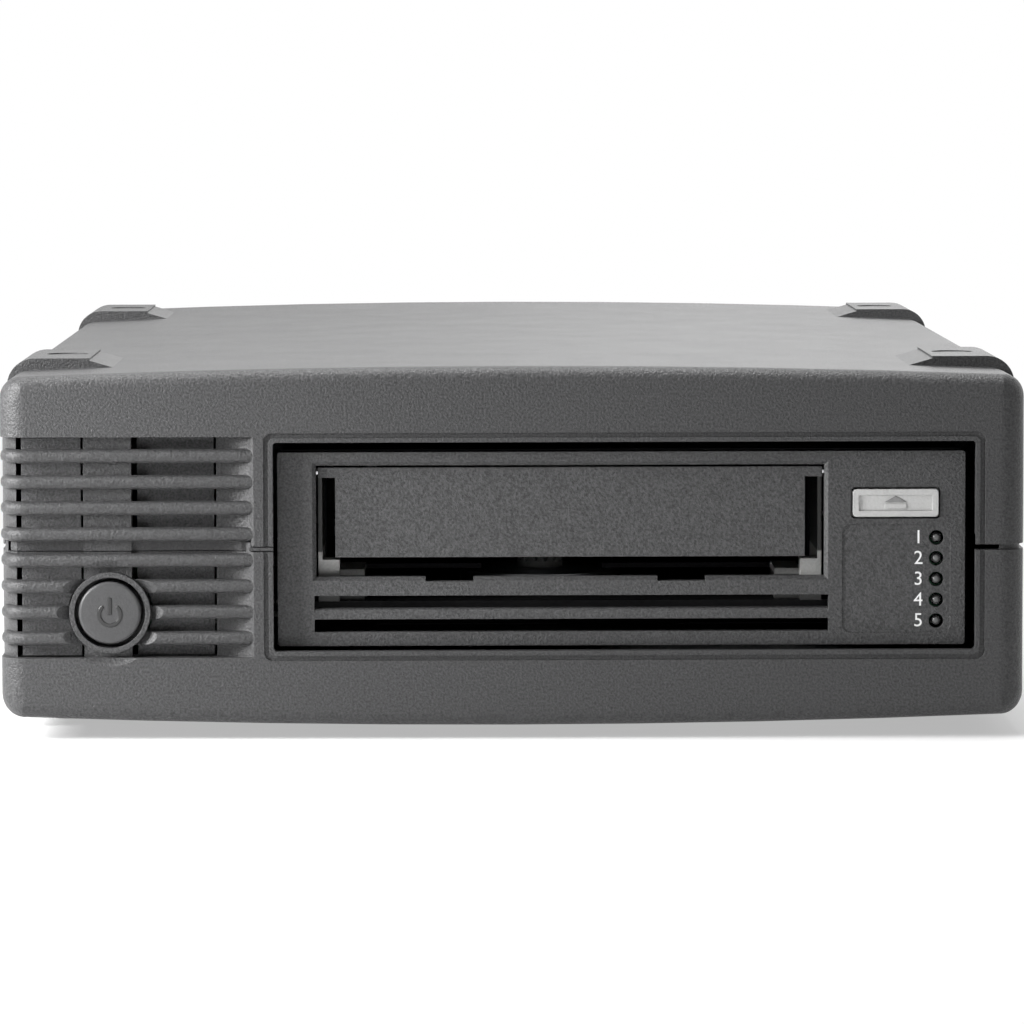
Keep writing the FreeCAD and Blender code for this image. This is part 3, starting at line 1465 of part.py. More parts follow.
def make_head():
    """The tape head, which slides up and down on a rod, and the base that carries the rod."""
    wide, long = head_width / 2, head_length / 2
    base_high = head_low - head_travel - 0.6
    seat = deck_high + plate_sheet
    base = block("head_seat", (-head_x - wide - 2, -head_x + wide + 1), (-long, long), (seat, base_high))
    rod_high = head_low + head_height + head_travel + 1
    pins = [
        rod("head_rod", "z", (-head_x, reach * end, seat), head_rod, rod_high - seat)
        for end in (-1, 1) for reach in (long - 3,)
    ]
    finish_part(fuse("head_base", base, *pins))
    head = new_body("tape_head")
    outline = [
        (-head_x - wide, -long), (-head_x + wide - 2, -long), (-head_x + wide - 2, -long / 3),
        (-head_x + wide - 2, long / 3, 5), (-head_x + wide - 2, long), (-head_x - wide, long),
    ]
    pad(head, "block", "XY", head_low, head_low + head_height, outline)
    holes = [(-head_x, (long - 3) * end, head_rod + running) for end in (-1, 1)]
    pocket(head, "bores", "XY", head_low - 1, head_low + head_height + 1, *holes)
    finish_part(head)


def make_loader():
    """The cartridge carriage with its rack, the guides it runs on, and the geared motor that drives it."""
    carriage = new_body("cartridge_carriage")
    left, right = cartridge_left - carriage_sheet, cartridge_right + carriage_sheet
    low = carriage_low
    high = slot_high + 0.4
    near, far = carriage_y, carriage_y + carriage_length
    inside_low = low + carriage_sheet
    section = [
        (left, low), (right, low), (right, high), (right - carriage_lip, high), (right - carriage_lip, high - carriage_sheet),
        (right - carriage_sheet, high - carriage_sheet), (right - carriage_sheet, inside_low),
        (left + carriage_sheet, inside_low), (left + carriage_sheet, high - carriage_sheet),
        (left + carriage_lip, high - carriage_sheet), (left + carriage_lip, high), (left, high),
    ]
    pad(carriage, "channel", "XZ", near, far, section)
    hub = carriage_window
    window = box_outline(spindle_x - hub, spindle_x + hub, near - 1, spindle_y + hub, 6)
    pocket(carriage, "window", "XY", low - 1, inside_low + 1, window)
    rack_line = right + rack_web + rack_module
    pad(carriage, "rack_bar", "XY", rack_low, rack_low + rack_height,
        box_outline(right - fit, right + rack_web - rack_module * 0.05, near + 8, near + 60))
    pitch = math.pi * rack_module
    tooth = rack_tooth(rack_line, gear_line_y() - pitch * 5)
    first = pad(carriage, "rack_tooth", "XY", rack_low, rack_low + rack_height, tooth)
    rack = carriage.newObject("PartDesign::LinearPattern", "rack_teeth")
    rack.Originals = [first]
    rack.Direction = (first.Profile[0], ["V_Axis"])
    rack.Length = value_of(pitch * 10)
    bind(rack, "Length", pitch * 10)
    rack.Occurrences = 11
    carriage.Tip = rack
    settle(carriage, rack)
    finish_part(carriage)
    make_guides(left, right, low)
    make_loader_drive(rack_line)


def gear_line_y():
    """The height along Y of the loader gear's axis."""
    return -gear_y


def rack_tooth(line, y):
    """One rack tooth, centred at y, with flanks at 20 degrees and some play."""
    slope = math.tan(math.radians(20))
    half = math.pi * rack_module / 4 - tooth_play / 2
    root_half, tip_half = half + rack_module * slope, half - rack_module * slope * 0.9
    base, tip = line - rack_module * 1.1, line + rack_module * 0.9
    return [(base, y - root_half), (tip, y - tip_half), (tip, y + tip_half), (base, y + root_half)]


def make_guides(left, right, low):
    """The two moulded guides that the carriage runs on, with their light front stops."""
    guides = []
    for hand, side in ((-1, left), (1, right)):
        inner = side - 4.4 * hand
        outer = side + 0.2 * hand
        a, b = (outer, inner) if hand < 0 else (inner, outer)
        y_near = bezel_back - 1.2
        y_far = carriage_y + carriage_length + carriage_travel
        rail = block("guide_rail", (a, b), (y_near, y_far), (deck_high, low - 0.1))
        strip_in = outer - 0.9 * hand
        c, d = (outer, strip_in) if hand < 0 else (strip_in, outer)
        strip = block("guide_strip", (c, d), (y_near, carriage_y - 1), (low - 1, slot_high - 1))
        stop = block("guide_stop", (a, b), (y_near, y_near + 6), (low - 1, door_low - 0.7))
        ledge_in = inner - 5 * hand
        e, f = (inner, ledge_in) if hand < 0 else (ledge_in, inner)
        ledge = block("guide_ledge", (e - fit, f + fit), (y_near + 4, y_near + 22), (deck_high, low + 2))
        guides.append(fuse("carriage_guide", rail, strip, stop, ledge))
    finish_part(group("carriage_guides", *guides))


def make_loader_drive(rack_line):
    """The gear that moves the carriage, its motor and the bracket that holds them."""
    pitch_radius = rack_module * gear_teeth / 2
    x, y = rack_line + pitch_radius, gear_line_y()
    gear = new_body("loader_gear")
    root_radius, tip_radius = pitch_radius - rack_module * 1.15, pitch_radius + rack_module * 0.9
    pad(gear, "blank", "XY", 0, gear_height, (0, 0, root_radius))
    half = math.pi * rack_module / 4 - tooth_play / 2
    root_half, tip_half = half * 1.5, half * 0.52
    tooth = [
        (root_radius - rack_module * 0.5, -root_half), (root_radius, -root_half), (pitch_radius, -half),
        (tip_radius, -tip_half), (tip_radius, tip_half), (pitch_radius, half), (root_radius, root_half),
        (root_radius - rack_module * 0.5, root_half),
    ]
    polar(gear, "teeth", pad(gear, "tooth", "XY", 0, gear_height, tooth), gear_teeth)
    pocket(gear, "bore", "XY", -1, gear_height + 1, (0, 0, loader_shaft + running))
    turn = FreeCAD.Rotation(Vector(0, 0, 1), 180 / gear_teeth + 180)
    finish_part(place(gear, (x, y, rack_low - 0.5), turn))
    motor_low = bracket_low + rail_sheet
    body = rod("loader_motor_can", "z", (x, y, motor_low), loader_motor_radius, loader_motor_height)
    shaft_low = rack_low - 2
    shaft = rod("loader_motor_shaft", "z", (x, y, shaft_low), loader_shaft, motor_low - shaft_low + 1)
    finish_part(fuse("loader_motor", body, shaft))
    reach = pitch_radius + rack_module + 3
    sheet_top = block("bracket_top", (x - 6, x + reach), (y - reach, y + reach), (bracket_low, motor_low))
    hole = rod("bracket_hole", "z", (x, y, bracket_low - 1), loader_shaft + fit, 4)
    legs = [
        block("bracket_leg", (x - 3, x + reach), near_far, (deck_high, bracket_low + 0.5))
        for near_far in ((y - reach, y - reach + rail_sheet), (y + reach - rail_sheet, y + reach))
    ]
    finish_part(cut("loader_bracket", fuse("bracket_sheet", sheet_top, *legs), hole))


def make_threader():
    """The threading arm that swings round the reel's axis, and the post that it turns on."""
    arm = new_body("threader_arm")
    wide = arm_width / 2
    pad(arm, "hub", "XY", arm_low, arm_low + arm_sheet, (reel_x, reel_y, arm_hub))
    blade = box_outline(reel_x - arm_reach, reel_x, reel_y - wide, reel_y + wide, 3)
    pad(arm, "blade", "XY", arm_low, arm_low + arm_sheet, blade)
    hook = (reel_x - arm_reach + 4, reel_y, 1.8)
    pad(arm, "hook", "XY", arm_low - 2, arm_low + fit, hook)
    pocket(arm, "bore", "XY", arm_low - 1, arm_low + 2, (reel_x, reel_y, motor_shaft + running))
    finish_part(arm)
    bridge = new_body("threader_bridge")
    bridge_low = arm_low + arm_sheet + 1
    plan = box_outline(reel_x - 6, chassis_right - chassis_wall - fit, reel_y - 6, reel_y + 6, 3)
    pad(bridge, "sheet", "XY", bridge_low, bridge_low + rail_sheet, plan)
    leg = box_outline(chassis_right - chassis_wall - 7, chassis_right - chassis_wall - fit, reel_y - 6, reel_y + 6)
    pad(bridge, "leg", "XY", deck_high, bridge_low + fit, leg)
    pad(bridge, "pivot", "XY", arm_low, bridge_low + fit, (reel_x, reel_y, motor_shaft))
    finish_part(bridge)


def make_drive_mounting():
    """The drive's main board, its rear connectors, and the two sheet rails that carry the drive."""
    low = chassis_low + cover_sheet + 0.6
    left, right = chassis_left + 4, chassis_right - 4
    near, far = chassis_front + 42, chassis_back - chassis_wall - 1
    finish_part(block("drive_board", (left, right), (near, far), (low, low + board_sheet)))
    top = low + board_sheet
    chips = []
    for x, y, wide, deep in ((-30, -90, 17, 17), (60, -90, 14, 14), (55, -60, 22, 22), (-30, -60, 12, 18), (60, 8, 18, 10)):
        chips.append(block("board_chip", (x - wide / 2, x + wide / 2), (y - deep / 2, y + deep / 2), (top, top + 1.6)))
    finish_part(group("board_chips", *chips))
    connectors = [
        block("drive_connector", (x, x + wide), (far - 9, chassis_back + 1.5), (top, deck_low - 1))
        for x, wide in ((-28, 42), (50, 20))
    ]
    finish_part(group("drive_connectors", *connectors))
    rails = []
    for hand, side in ((-1, chassis_left), (1, chassis_right)):
        rail = new_body("drive_rail")
        gap, sheet_in = 0.1 * hand, rail_sheet * hand
        inner = side + gap
        foot = rail_foot_low
        section = [
            (inner, foot), (inner + rail_foot * hand, foot), (inner + rail_foot * hand, foot + rail_sheet),
            (inner + sheet_in, foot + rail_sheet), (inner + sheet_in, chassis_low + 16), (inner, chassis_low + 16),
        ]
        start = front + rail_start
        pad(rail, "angle", "XZ", start, start + rail_length, section)
        low_x, high_x = (inner - rail_foot, inner + 1) if hand < 0 else (inner - 1, inner + rail_foot)
        holes = [(y, chassis_low + 10, 1.6) for y in rail_screw_ys()]
        pocket(rail, "side_holes", "YZ", low_x, high_x, *holes)
        feet = [(inner + rail_foot * 0.62 * hand, y, 1.6) for y in rail_post_ys()]
        pocket(rail, "foot_holes", "XY", foot - 1, foot + rail_sheet + 1, *feet)
        rails.append(rail)
    finish_part(group("drive_rails", *rails))
    screws = []
    for hand, side in ((-1, chassis_left), (1, chassis_right)):
        for y in rail_screw_ys():
            x = side + (0.1 + rail_sheet) * hand
            spot = (x, y, chassis_low + 10)
            screws.append(screw("rail_screw", "x", spot, rail_screw_radius, 4, 2.6, 1.4, back=hand > 0))
    finish_part(group("drive_screws", *screws))


def rail_post_ys():
    """Where the rails stand on the lower shell's posts."""
    start = front + rail_start
    return [start + 22, start + rail_length - 14]


def rail_post_spots():
    """The posts under the two rails."""
    spots = []
    for hand, side in ((-1, chassis_left), (1, chassis_right)):
        spots += [(side + (0.1 + rail_foot * 0.62) * hand, y) for y in rail_post_ys()]
    return spots


# ---------------------------------------------------------------------------------------------------
# Power supply, power button and leads

supply_low = size("supply_low", 12)
supply_half_length = size("supply_half_length", 64)
supply_left = size("supply_left", 104)
supply_right = size("supply_right", 63)
supply_sheet = size("supply_sheet", 1.5)
supply_side = size("supply_side", 32)
supply_standoff = size("supply_standoff", 4.5)
supply_edge = size("supply_edge", 3)
post_pilot = size("post_pilot", 8)
supply_pilot = size("supply_pilot", 5)
choke_radius = size("choke_radius", 8)
choke_section = size("choke_section", 3.6)
fin_pitch = size("fin_pitch", 4)
fin_height = size("fin_height", 9)
cap_set_back = size("cap_set_back", 0.2)
cap_length = size("cap_length", 7)
cap_flange = size("cap_flange", 1)
cap_flange_radius = size("cap_flange_radius", 8.3)
cap_stem = size("cap_stem", 2)
cap_edge = size("cap_edge", 0.6)
switch_board_back = size("switch_board_back", 22)
switch_board_width = size("switch_board_width", 19)
switch_board_height = size("switch_board_height", 21)
switch_size = size("switch_size", 6)
switch_post = size("switch_post", 3)

floor_high = foot_drop + wall
lead_sides = 8
supply_deck = supply_low + supply_sheet
board_low = supply_deck + supply_standoff
supply_top = board_low + board_sheet
switch_board_y = front + switch_board_back
mains_lead_radius = 1.4
mains_lead_routes = (
    ((-85, 129.9, 40), (-85, 118, 40), (-83.5, 103, 36), (-84.5, 86, 29.5), (-84, 72, 25), (-84, 60.1, 25)),
    ((-76, 129.9, 40), (-76, 118, 40), (-77.5, 102, 34.5), (-76.5, 86, 28.8), (-77, 72, 25), (-77, 60.1, 25)),
)
switch_lead_radius = 1.2
switch_lead_route = (
    (-86, -132.3, 22), (-86, -120, 22), (-84, -104, 19.5), (-85.5, -88, 20), (-85, -74, 25), (-85, -60.1, 25),
)
power_lead_radius = 2.2
power_lead_route = (
    (-69, 60.1, 25), (-69, 76, 24.5), (-58, 87, 19.5), (-40, 87.5, 14.5), (-12, 82, 12.5), (16, 82, 12.5),
    (38, 83, 15), (54, 79, 21), (60, 68, 24.7), (60, 55.3, 24.7),
)
data_lead_radius = 2.6
data_lead_route = (
    (-32, 91.4, 25), (-32, 79, 25), (-24, 67.5, 24.7), (-24, 55.4, 24.7),
)
fan_lead_radius = 1
fan_lead_route = ((25.9, 124, 24), (18.9, 124, 24), (10.1, 115, 25), (3.1, 115, 25))


def make_baffle():
    """The baffle behind the grille, whose two raised panels fill its windows but for a gap at their sides."""
    baffle = new_body("vent_baffle")
    low, high = middle - grille_half, middle + grille_half
    levels = ((low + fit, middle - rib_pitch / 2 - fit), (middle + rib_pitch / 2 + fit, high - fit))
    back = front + wall + grille_backing + fit
    left, right = fit - pillar_edge, fit * 2 - grille_right
    plate = box_outline(left, right, low - 3, high + 3)
    pad(baffle, "plate", "XZ", back, back + baffle_sheet, plate)
    panels = (
        ("outer_panel", baffle_gap - pillar_edge, -post_left - baffle_gap / 2, baffle_left_depth),
        ("inner_panel", baffle_gap - post_right, -window_right - baffle_gap / 2, baffle_right_depth),
    )
    for name, start, end, depth in panels:
        blocks = [box_outline(start, end, foot, top) for foot, top in levels]
        pad(baffle, name, "XZ", front + depth, back + fit, *blocks)
    sides = (
        (-pillar_edge, baffle_gap - pillar_edge),
        (-post_left - baffle_gap / 2, -post_left),
        (-post_right, baffle_gap - post_right),
        (-window_right - baffle_gap / 2, -window_right),
    )
    gaps = [box_outline(start, end, foot, top) for start, end in sides for foot, top in levels]
    pocket(baffle, "air_gaps", "XZ", back - 1, back + baffle_sheet + 1, *gaps)
    clear = (-power_x, power_z, power_collar_radius + fit)
    pocket(baffle, "button_way", "XZ", front, back + baffle_sheet + 1, clear)
    finish_part(baffle)


def make_power_button():
    """The round power button, its switch and the small board that stands in the lower shell's posts."""
    button = new_body("power_button")
    stop = power_set_back + power_collar_length - cap_set_back + 0.1
    switch_face = switch_board_y - switch_size
    stem_end = switch_face - (front + cap_set_back) - power_travel - fit
    outline = [
        (0, 0), (power_cap_radius, 0), (power_cap_radius, stop), (cap_flange_radius, stop),
        (cap_flange_radius, stop + cap_flange), (cap_stem, stop + cap_flange), (cap_stem, stem_end), (0, stem_end),
    ]
    turned(button, "cap", outline)
    round_edges(button, "rim", cap_edge, rim_names(button.Tip.Shape), "PartDesign::Chamfer")
    finish_part(place(button, (-power_x, front + cap_set_back, power_z), TURNS["y"]))
    half_wide, low = switch_board_width / 2, power_z - switch_board_height / 2
    sheet_box = ((-power_x - half_wide, -power_x + half_wide), (switch_board_y, switch_board_y + board_sheet),
                 (low, low + switch_board_height))
    half = switch_size / 2
    switch = block("power_switch", (-power_x - half, -power_x + half), (switch_face, switch_board_y),
                   (power_z - half, power_z + half))
    finish_part(group("power_switch_board", block("switch_board", *sheet_box), switch))


def rim_names(shape):
    """The edge round the front of the power button's cap."""
    names = []
    for index, edge in enumerate(shape.Edges, 1):
        box = edge.BoundBox
        if abs(box.ZMin) < NEAR and abs(box.ZMax) < NEAR and abs(box.XMax - power_cap_radius.value) < NEAR:
            names.append(f"Edge{index}")
    return names


def supply_post_spots():
    """The four posts under the power supply."""
    xs = (-supply_left + 6, -supply_right - 6)
    return [(x, (supply_half_length - 24) * end) for x in xs for end in (-1, 1)]


def make_power_supply():
    """The open-frame power supply: bracket, board, transformer, capacitors, heat sinks, choke and terminals."""
    bracket = new_body("supply_bracket")
    left, right, long = -supply_left, -supply_right, supply_half_length
    angle = [
        (left, supply_low), (right, supply_low), (right, supply_deck), (left + supply_sheet, supply_deck),
        (left + supply_sheet, supply_low + supply_side), (left, supply_low + supply_side),
    ]
    pad(bracket, "angle", "XZ", -long, long, angle)
    side_vents = [box_outline(y, y + 18, supply_deck + 14, supply_deck + 17) for y in (-50, -9, 32)]
    pocket(bracket, "side_vents", "YZ", left - 1, left + 3, *side_vents)
    standoffs = [(x, y, 2.6) for x, y in supply_board_holes()]
    pad(bracket, "standoffs", "XY", supply_deck - fit, board_low, *standoffs)
    holes = [(x, y, screw_hole) for x, y in supply_post_spots()]
    pocket(bracket, "holes", "XY", supply_low - 1, supply_deck + 1, *holes)
    finish_part(bracket)
    edge = supply_edge
    finish_part(block("supply_board", (left + edge, right - edge + 1), (edge - long, long - edge), (board_low, supply_top)))
    x, y = -83, 4
    core = block("core_block", (x - 13, x + 13), (y - 12, y + 12), (supply_top, supply_top + 24))
    window = block("core_window", (x - 14, x + 14), (y - 7, y + 7), (supply_top + 5, supply_top + 19))
    winding = rod("winding", "x", (x - 11, y, supply_top + 12), 9.5, 22)
    transformer = fuse("transformer", cut("core", core, window), winding)
    ring_low = (-82, -22, supply_top)
    choke_body = rod("choke_body", "z", ring_low, choke_radius + choke_section, choke_section * 2)
    choke_bore = rod("choke_bore", "z", ring_low, choke_radius - choke_section, choke_section * 2)
    choke = cut("choke", choke_body, choke_bore)
    finish_part(group("supply_magnetics", transformer, choke))
    cans = [
        rod("bulk_capacitor", "z", (-90, -43, supply_top), 8, 26),
        rod("output_capacitor", "z", (-73, 34, supply_top), 5, 20),
        rod("output_capacitor_b", "z", (-73, 46, supply_top), 5, 20),
    ]
    finish_part(group("supply_capacitors", *cans))
    sinks = []
    for number, (x, y, count) in enumerate(((-99, 18, 8), (-69.5, -34, 6)), 1):
        sink = new_body(f"heat_sink_{number}")
        deep = fin_pitch * count
        comb = [(x, y)]
        for fin in range(count):
            foot = y + fin_pitch * fin
            comb += [(x + fin_height * 0.6, foot), (x + fin_height * 0.6, foot + 1.2), (x + 1.6, foot + 1.2)]
            if fin < count - 1:
                comb.append((x + 1.6, foot + fin_pitch))
        comb.append((x, y + deep - fin_pitch + 1.2))
        pad(sink, "comb", "XY", supply_top, supply_top + 22, comb)
        sinks.append(sink)
    finish_part(group("supply_heat_sinks", *sinks))
    terminals = [
        block("mains_terminal", (-90, -72), (52, 60), (supply_top, supply_top + 9)),
        block("output_terminal", (-71.8, -65.5), (52, 60), (supply_top, supply_top + 9)),
        block("switch_terminal", (-90, -80), (-60, -53), (supply_top, supply_top + 9)),
    ]
    finish_part(group("supply_terminals", *terminals))


def supply_board_holes():
    """Where the supply's board stands on its bracket."""
    xs = (-supply_left + 9, -supply_right - 9)
    return [(x, (supply_half_length - 6.5) * end) for x in xs for end in (-1, 1)]


def lead_path(points):
    """A route of straight runs joined by tangent arcs, each as large as its runs allow."""
    spots = [Vector(*point) for point in points]
    edges = []
    start = spots[0]
    for before, corner, after in zip(spots, spots[1:], spots[2:]):
        back, ahead = (before - corner).normalize(), (after - corner).normalize()
        run = min((before - corner).Length, (after - corner).Length) * 0.45
        entry, leave = corner + back * run, corner + ahead * run
        half_turn = (math.pi - back.getAngle(ahead)) / 2
        radius = run / math.tan(half_turn)
        print(f"bend of {radius:.1f} mm")
        bisector = (back + ahead).normalize()
        centre_line = corner + bisector * (radius / math.cos(half_turn))
        crown_point = centre_line - bisector * radius
        edges.append(Part.LineSegment(start, entry).toShape())
        edges.append(Part.Arc(entry, crown_point, leave).toShape())
        start = leave
    edges.append(Part.LineSegment(start, spots[-1]).toShape())
    return Part.Wire(edges)


def lead(name, points, radius):
    """A round lead along a route."""
    path = lead_path(points)
    start, toward = Vector(*points[0]), Vector(*points[1])
    along = (toward - start).normalize()
    first = along.cross(Vector(0, 0, 1) if abs(along.z) < 0.9 else Vector(1, 0, 0)).normalize() * radius
    turn = FreeCAD.Rotation(along, 360 / lead_sides)
    corners = [start + first]
    for _ in range(lead_sides - 1):
        first = turn.multVec(first)
        corners.append(start + first)
    section = Part.makePolygon(corners + corners[:1])
    tube = doc.addObject("Part::Feature", name)
    tube.Shape = path.makePipeShell([section], True, False)
    expected = lead_sides / 2 * radius * radius * math.sin(math.tau / lead_sides) * path.Length
    if abs(tube.Shape.Volume - expected) > expected * 0.01:
        raise RuntimeError(f"{name} has the wrong volume")
    return tube


def make_leads():
    """The leads inside the case, each made whole from one connector to the next."""
    supply_leads = [lead("mains_lead", route, mains_lead_radius) for route in mains_lead_routes]
    supply_leads.append(lead("switch_lead", switch_lead_route, switch_lead_radius))
    finish_part(group("supply_leads", *supply_leads))
    power_lead = lead("power_lead", power_lead_route, power_lead_radius)
    finish_part(group("power_leads", power_lead, lead("fan_lead", fan_lead_route, fan_lead_radius)))
    finish_part(lead("data_lead", data_lead_route, data_lead_radius))


def add_floor_posts(shell):
    """The lower shell's posts for the drive rails, the supply, the interface board and the switch board."""
    low = foot_drop + crown
    groups = (
        ("rail_posts", rail_post_spots(), rail_foot_low, post_pilot),
        ("supply_posts", supply_post_spots(), supply_low, supply_pilot),
        ("board_posts", board_post_spots(), port_z - board_sheet, post_pilot),
    )
    for name, spots, high, pilot in groups:
        pad(shell, name, "XY", low, high, *[(x, y, post_radius) for x, y in spots])
        pocket(shell, f"{name}_pilots", "XY", high - pilot, high + 1, *[(x, y, screw_hole) for x, y in spots])
    near, far = switch_board_y - 1.5, switch_board_y + board_sheet + 1.5
    for name, hand in (("left_switch_post", -1), ("right_switch_post", 1)):
        edge = -power_x + switch_board_width / 2 * hand
        inner, groove, outer = edge - 1 * hand, edge + running * hand, edge + switch_post * hand
        a, b = (outer, inner) if hand < 0 else (inner, outer)
        pad(shell, name, "XY", low, power_z, box_outline(a, b, near, far))
        c, d = (groove, inner + fit) if hand < 0 else (inner - fit, groove)
        back_face = switch_board_y + board_sheet + running
        way = box_outline(c, d, switch_board_y - running, back_face)
        foot = power_z - switch_board_height / 2 - running
        pocket(shell, f"{name}_groove", "XY", foot, power_z + fit, way)


def make_post_screws():
    """The screws that hold the rails, the interface board and the power supply on their posts."""
    seats = (
        (rail_post_spots(), rail_foot_low + rail_sheet),
        (board_post_spots(), port_z),
        (supply_post_spots(), supply_deck),
    )
    screws = []
    for spots, seat in seats:
        screws += [
            screw("post_screw", "z", (x, y, seat), rail_screw_radius, 6, 2.6, 1.4, back=True) for x, y in spots
        ]
    finish_part(group("post_screws", *screws))


def check_and_export():
    """Stop if any object failed or any sub-part is empty or invalid, then write each sub-part's file."""
    doc.recompute()
    for thing in doc.Objects:
        if "Invalid" in thing.State or "Error" in thing.State:
            raise RuntimeError(f"{thing.Label} failed: {thing.State}")
    for part in parts:
        if part.Shape.isNull() or not part.Shape.isValid() or not part.Shape.Solids:
            raise RuntimeError(f"{part.Label} is not a valid solid")
    os.makedirs("parts", exist_ok=True)
    for part in parts:
        part.Shape.exportStep(f"parts/{part.Label}.step")
        print(f"{part.Label}: {len(part.Shape.Solids)} solid(s), {part.Shape.Volume / 1000:.2f} cm3")


make_top_shell()
make_bottom_shell()
make_baffle()
make_rear_panel()
make_mains_inlet()
make_fan()
make_feet_and_screws()
make_ports()
make_power_button()
make_power_supply()
make_bezel()
make_door()
make_front_controls()
make_chassis()
make_tape_path()
make_loader()
make_threader()
make_drive_mounting()
make_post_screws()
make_leads()
check_and_export()
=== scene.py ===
"""Looks of an external data tape drive: finishes, markings and small fittings, a studio and a camera."""

from __future__ import annotations

import logging
import math
from dataclasses import dataclass, field
from enum import Enum

import bmesh
import bpy
from mathutils import Matrix, Vector


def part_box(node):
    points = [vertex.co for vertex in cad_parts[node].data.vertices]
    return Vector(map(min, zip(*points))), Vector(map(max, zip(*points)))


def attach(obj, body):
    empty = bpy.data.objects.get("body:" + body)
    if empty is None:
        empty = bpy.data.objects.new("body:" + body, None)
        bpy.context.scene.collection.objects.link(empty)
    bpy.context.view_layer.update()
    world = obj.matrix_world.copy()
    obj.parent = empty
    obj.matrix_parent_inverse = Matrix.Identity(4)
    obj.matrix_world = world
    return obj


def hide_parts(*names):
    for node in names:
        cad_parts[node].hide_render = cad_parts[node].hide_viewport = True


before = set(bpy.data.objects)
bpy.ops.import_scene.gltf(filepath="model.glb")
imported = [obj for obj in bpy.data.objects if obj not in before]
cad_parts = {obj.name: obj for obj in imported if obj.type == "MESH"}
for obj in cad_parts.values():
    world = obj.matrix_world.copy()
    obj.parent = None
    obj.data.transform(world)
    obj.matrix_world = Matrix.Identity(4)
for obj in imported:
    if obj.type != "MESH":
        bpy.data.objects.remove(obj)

log = logging.getLogger("tape_drive")

Colour = tuple[float, float, float]
Spot = tuple[float, float, float]
Point = tuple[float, float]
Socket = bpy.types.NodeSocket
Number = float | Socket
Mark = tuple[Vector, Vector]

MM = 0.001
WHITE = (1.0, 1.0, 1.0, 1.0)
CLOSE = 0.01 * MM
PATTERN: Point = (0.3, 0.7)
CASE: Colour = (0.046, 0.046, 0.047)
DRIVE: Colour = (0.054, 0.054, 0.055)
SCREWS = ("case_screws", "panel_screws", "fan_screws", "drive_screws", "post_screws")


class Axis(Enum):
    """The direction that a flat marking faces."""

    FRONT = "front"
    UP = "up"


class NodeTree:
    """A short way to build a node tree."""

    def __init__(self, tree: bpy.types.NodeTree) -> None:
        """Take up a tree."""
        self.tree = tree

    def join(self, value: object, socket: Socket) -> None:
        """Link a socket to another, or set the other to a plain value.

        Args:
            value: A socket or a plain value.
            socket: The input that takes it.
        """
        if isinstance(value, Socket):
            self.tree.links.new(value, socket)
        else:
            socket.default_value = value

    def add(self, kind: str, settings: dict[str, object] | None = None, **inputs: object) -> bpy.types.Node:
        """Add a node and fill its inputs.

        Args:
            kind: The node's type.
            settings: Its plain properties.
            inputs: Its inputs by name, with underscores for spaces: numbers, vectors or sockets.

        Returns:
            The new node.
        """
        node = self.tree.nodes.new(kind)
        for key, value in (settings or {}).items():
            setattr(node, key, value)
        for key, value in inputs.items():
            self.join(value, node.inputs[key.replace("_", " ")])
        return node

    def calc(self, first: Number, second: Number = 0.0, kind: str = "MULTIPLY") -> Socket:
        """Work out one number from one or two.

        Args:
            first: A number or socket.
            second: A number or socket.
            kind: The operation.

        Returns:
            The result's socket.
        """
        node = self.add("ShaderNodeMath", {"operation": kind})
        self.join(first, node.inputs[0])
        self.join(second, node.inputs[1])
        return node.outputs[0]


